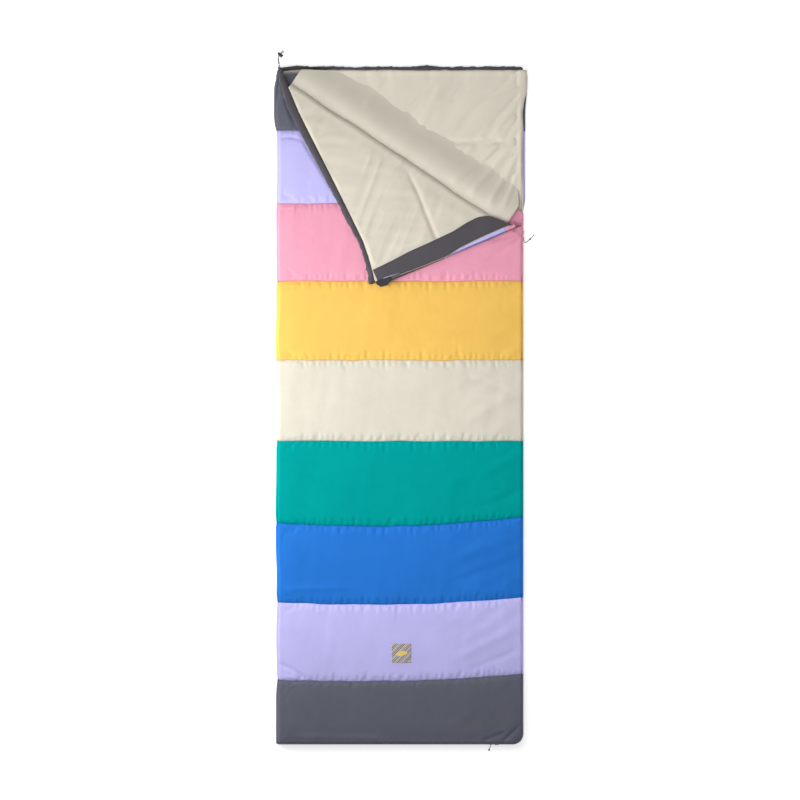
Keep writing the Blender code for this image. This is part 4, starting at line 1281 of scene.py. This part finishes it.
# The folded side: each stripe's cloth carried round from the back to the front, drawn in at the
# seams.
def makeSideSeam(finishes):
    y = np.linspace(foot + 0.002, head - 0.02, 520)
    angle = np.radians(np.linspace(-90, 90, 17))
    yy, aa = np.meshgrid(y, angle, indexing="ij")
    edges = np.array([seamAt(k, np.array([left]))[0] for k in range(1, 9)])
    gap = np.min(np.abs(y[:, None] - edges[None, :]), axis=1)
    waist = np.exp(-((gap / sideLook["waistWidth"]) ** 2))
    swell = 1 - sideLook["waist"] * waist + 0.1 * noise(y, y * 0, 0.05, 901)
    xx = left + 0.0026 - leftBulge(y)[:, None] - sideLook["bulge"] * np.cos(aa) * swell[:, None]
    z = chainHeight + sideLook["halfHigh"] * np.sin(aa) * (1 - 0.05 * waist)[:, None]
    z = z + 0.0007 * noise(yy, aa * 0.01, 0.013, 902) * np.cos(aa)
    order = ("charcoal", "lilac", "pink", "yellow", "ecru", "green", "blue")
    colours = [finishes[c] for c in order]
    obj = clothFromGrid(
        "side_seam_cloth", xx[:, ::-1], yy, np.clip(z, 0.0004, 0.06)[:, ::-1], sideLook["cloth"], colours
    )
    bm = bmesh.new()
    bm.from_mesh(obj.data)
    bmesh.ops.recalc_face_normals(bm, faces=bm.faces)
    for face in bm.faces:
        k = int(np.sum(face.calc_center_median().y > edges))
        face.material_index = order.index(stripeFinish[k])
    writeBack(obj, bm)
    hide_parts("side_seam")
    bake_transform(obj)


facingLook = {"foot": -1.06, "head": 0.592, "inner": 0.345, "wide": 0.043, "cloth": 0.0007}


# The band inside the front, along its zip.
def makeFrontFacing(finishes):
    across = facingLook["inner"] + facingLook["wide"] * np.linspace(0, 1, 8)
    xx, yy = np.meshgrid(across, np.linspace(facingLook["foot"], facingLook["head"], 240))
    z = frontBase - 0.0012 + 0.0005 * noise(xx, yy, 0.03, 931)
    band = clothFromGrid("front_facing_band", xx, yy, z, facingLook["cloth"], finishes["band"], down=True)
    settle(band, "front_quilt", ("front_facing",))


# Patch: a sewn square with generic diagonal stripes and a plain round motif

patchLook = {"centre": (0.0045, -0.803), "half": 0.0315, "corner": 0.003, "period": 0.0152}


def makePatch(surface, finishes):
    cx, cy = patchLook["centre"]
    half = patchLook["half"]
    count = 84
    u = np.linspace(-half, half, count + 1)
    xx, yy = np.meshgrid(u, u)
    sx, sy, sz = surface
    near = (np.abs(sx - cx) < 0.06) & (np.abs(sy - cy) < 0.06)
    px, py, pz = sx[near], sy[near], sz[near]
    tree = KDTree(len(px))
    for i, (a, b) in enumerate(zip(px, py)):
        tree.insert((a, b, 0), i)
    tree.balance()
    zz = np.empty(xx.shape)
    for index in np.ndindex(*xx.shape):
        found = tree.find_n((cx + xx[index], cy + yy[index], 0), 5)
        weight = [1 / (f[2] + 0.0008) for f in found]
        zz[index] = sum(w * pz[f[1]] for w, f in zip(weight, found)) / sum(weight)
    rim = np.clip((half - np.maximum(np.abs(xx), np.abs(yy))) / 0.0025, 0, 1)
    zz = zz + 0.0006 + 0.0006 * np.sqrt(rim)
    order = ("label", "stripeBrown", "stripeCoral", "stripeTeal", "motif")
    obj = clothFromGrid("patch_cloth", cx + xx, cy + yy, zz, 0.0008, [finishes[c] for c in order])
    across = (yy - xx) / math.sqrt(2) / patchLook["period"]
    phase = np.mod(across + 0.22, 1.0)
    kind = np.select([phase < 0.13, phase < 0.4, phase < 0.53, phase < 0.68, phase < 0.8], [1, 2, 1, 0, 3], 0)
    spot = np.hypot((xx + 0.4 * yy) * 0.62, (yy - 0.25 * xx + 0.001) * 1.55)
    kind = np.where(spot < 0.0105, 4, np.where(spot < 0.012, 0, kind))
    faceKind = [int(kind[i // count, i % count]) for i in range(count * count)]
    polygons = obj.data.polygons
    values = faceKind + [0] * (len(polygons) - len(faceKind))
    polygons.foreach_set("material_index", values)
    settle(obj, "front_quilt", ("patch",))


# Geometry Nodes: coils and stitches spread along a line

# A node group that puts one small loop or stitch at even steps along a curve, then sets its finish.
def coilTree(name, finish, pitch, kind):
    tree = bpy.data.node_groups.new(name, "GeometryNodeTree")
    tree.interface.new_socket("Geometry", in_out="INPUT", socket_type="NodeSocketGeometry")
    sockets = {
        label: tree.interface.new_socket(label, in_out="INPUT", socket_type="NodeSocketFloat").identifier
        for label in ("Pitch", "Thickness", "Reach")
    }
    tree.interface.new_socket("Geometry", in_out="OUTPUT", socket_type="NodeSocketGeometry")
    outline = "GeometryNodeCurvePrimitiveBezierSegment" if kind == "stitch" else "GeometryNodeCurvePrimitiveCircle"
    nodes = {
        "in": addNode(tree, "NodeGroupInput"), "out": addNode(tree, "NodeGroupOutput"),
        "curve": addNode(tree, "GeometryNodeMeshToCurve"),
        "steps": addNode(tree, "GeometryNodeResampleCurve", mode="LENGTH"),
        "tangent": addNode(tree, "GeometryNodeInputTangent"),
        "align": addNode(tree, "FunctionNodeAlignRotationToVector", axis="X"),
        "shape": addNode(tree, outline, Resolution=6 if kind == "stitch" else 14),
        "ring": addNode(tree, "GeometryNodeCurvePrimitiveCircle", Resolution=6),
        "sweep": addNode(tree, "GeometryNodeCurveToMesh", Fill_Caps=True),
        "turn": addNode(tree, "GeometryNodeTransform"),
        "spread": addNode(tree, "GeometryNodeInstanceOnPoints"),
        "real": addNode(tree, "GeometryNodeRealizeInstances"),
        "soft": addNode(tree, "GeometryNodeSetShadeSmooth"),
        "paint": addNode(tree, "GeometryNodeSetMaterial", Material=finish),
    }
    links = [
        ("in", "Geometry", "curve", "Mesh"), ("curve", "Curve", "steps", "Curve"),
        ("in", "Pitch", "steps", "Length"),
        ("tangent", "Tangent", "align", "Vector"), ("in", "Thickness", "ring", "Radius"),
        ("shape", "Curve", "sweep", "Curve"),
        ("ring", "Curve", "sweep", "Profile Curve"), ("sweep", "Mesh", "turn", "Geometry"),
        ("steps", "Curve", "spread", "Points"),
        ("turn", "Geometry", "spread", "Instance"), ("align", "Rotation", "spread", "Rotation"),
        ("spread", "Instances", "real", "Geometry"), ("real", "Geometry", "soft", "Geometry"),
        ("soft", "Geometry", "paint", "Geometry"), ("paint", "Geometry", "out", "Geometry"),
    ]
    if kind == "stitch":
        nodes["end"], nodes["rise"] = addNode(
            tree, "ShaderNodeCombineXYZ"
        ), addNode(tree, "ShaderNodeCombineXYZ")
        for label, factor in (
            ("back", (-1.0, 1.0, 1.0)), ("over", (0.5, 0.0, 1.0)), ("under", (-0.5, 0.0, 1.0))
        ):
            nodes[label] = addNode(tree, "ShaderNodeVectorMath", operation="MULTIPLY")
            nodes[label].inputs[1].default_value = factor
        links += [
            ("in", "Reach", "end", "X"), ("in", "Reach", "rise", "X"), ("in", "Thickness", "rise", "Z"),
            ("end", "Vector", "back", 0), ("rise", "Vector", "over", 0), ("rise", "Vector", "under", 0),
            ("back", "Vector", "shape", "Start"), ("under", "Vector", "shape", "Start Handle"),
            ("over", "Vector", "shape", "End Handle"), ("end", "Vector", "shape", "End"),
        ]
    else:
        links.append(("in", "Reach", "shape", "Radius"))
        nodes["turn"].inputs["Rotation"].default_value = (math.radians(90), 0, math.radians(72))
    for source, output, target, entry in links:
        tree.links.new(nodes[source].outputs[output], nodes[target].inputs[entry])
    return tree, sockets


# Loops or stitches along one or more lines of points, as a plain mesh.
def spreadAlong(name, lines, finish, pitch, thickness, reach, kind):
    points, edges = [], []
    for line in lines:
        first = len(points)
        points += [tuple(p) for p in line]
        edges += [(first + i, first + i + 1) for i in range(len(line) - 1)]
    mesh = bpy.data.meshes.new(name)
    mesh.from_pydata(points, edges, [])
    obj = linkObject(name, mesh)
    tree, sockets = coilTree(f"{name}Nodes", finish, pitch, kind)
    modifier = obj.modifiers.new("Spread", "NODES")
    modifier.node_group = tree
    modifier[sockets["Pitch"]] = pitch
    modifier[sockets["Thickness"]] = thickness
    modifier[sockets["Reach"]] = reach
    obj.update_tag()
    graph = bpy.context.evaluated_depsgraph_get()
    plain = bpy.data.meshes.new_from_object(obj.evaluated_get(graph))
    obj.modifiers.clear()
    obj.data = plain
    bpy.data.meshes.remove(mesh)
    bpy.data.node_groups.remove(tree)
    if not plain.materials:
        plain.materials.append(finish)
    return obj


coilLook = {"pitch": 0.0024, "wire": 0.00042, "reach": 0.00125}
stitchLook = {"pitch": 0.0042, "wire": 0.00035, "reach": 0.0015}


# Coils for the back, the front's side and foot, and the corner; each is one row of loops.
def makeZip(finishes):
    wire, reach = coilLook["wire"], coilLook["reach"]
    x, sideFoot, sideHead = 0.3962, foot + cornerRadius, head - 0.029
    footLeft = left + 0.03
    arc = [
        Vector((0.366 + 0.0302 * math.sin(a), -1.066 - 0.0302 * math.cos(a), 0))
        for a in np.linspace(0, math.pi / 2, 16)
    ]
    footLine = [Vector((v, foot + 0.0038, 0)) for v in np.linspace(footLeft, 0.366, 120)]
    sideLine = [Vector((x, v, 0)) for v in np.linspace(sideFoot, sideHead, 260)]
    crossing = creaseHead.y + (x - creaseHead.x) * creaseAlong.y / creaseAlong.x
    low, high = chainHeight - 0.0021, chainHeight + 0.0021
    lift = Vector((0, 0, 1))
    whole = footLine + arc[1:-1] + sideLine
    jobs = (
        ("back_zip_loops", [[p + lift * low for p in whole]], ("back_zip_coil",), "back_quilt", False),
        (
            "front_zip_loops",
            [[p + lift * high for p in footLine + arc[1:-1] + sideLine if p.y < crossing - 0.006]],
            ("front_zip_coil_side", "front_zip_coil_foot"), "front_quilt", False
        ),
        (
            "flap_zip_loops", [[p + lift * high for p in sideLine if p.y > crossing + 0.006]],
            ("flap_zip_coil",), "flap", True
        ),
    )
    for name, lines, nodes, body, lifted in jobs:
        obj = spreadAlong(name, lines, finishes["coil"], coilLook["pitch"], wire, reach, "loop")
        if lifted:
            liftFlap(obj)
        settle(obj, body, nodes)


def makeStitches(finishes):
    wire, reach = stitchLook["wire"], stitchLook["reach"]
    y = np.linspace(0.64, 1.07, 90)
    outer, inner = bandEdges(y)
    edge = [[Vector((right - o - 0.003, v, frontBase - 0.0048)) for v, o in zip(y, outer)]]
    edge.append([Vector((right - i + 0.003, v, frontBase - 0.0048)) for v, i in zip(y, inner)])
    bandSewing = spreadAlong(
        "flap_band_stitches", edge, finishes["thread"], stitchLook["pitch"], wire, reach, "stitch"
    )
    liftFlap(bandSewing)
    settle(bandSewing, "flap")


makeStage()
finishes = makeFinishes()
makeCords(finishes["cord"])
print("stage, finishes and cords")
frontSurface = makeFront(finishes)
makeBack(finishes)
makeFlapLining(finishes["lining"], finishes["innerLining"])
makeBackLining(finishes["innerLining"])
makeFrontLining(finishes["lining"])
print("linings")
makeBand(finishes)
makeTab(finishes)
makeHems(finishes)
makeDraftTube(finishes)
makeSideSeam(finishes)
makeFrontFacing(finishes)
makePatch(frontSurface, finishes)
print("band, tab, hems, seams and patch")
makeZip(finishes)
makeStitches(finishes)
print("zip and stitches")

nodeFinish = {
    "tape": ("back_zip_tape", "front_zip_tape", "flap_zip_tape", "zip_head_stop", "zip_foot_box"),
    "metal": ("top_slider", "top_puller", "foot_slider", "foot_puller", "lock_spring"),
    "plastic": ("lock_barrel", "lock_button"),
    "hook": ("loop_patch",),
}
for key, names in nodeFinish.items():
    for name in names:
        node = bpy.data.objects[name]
        for place in node.material_slots:
            place.link = "DATA"
            place.material = finishes[key]
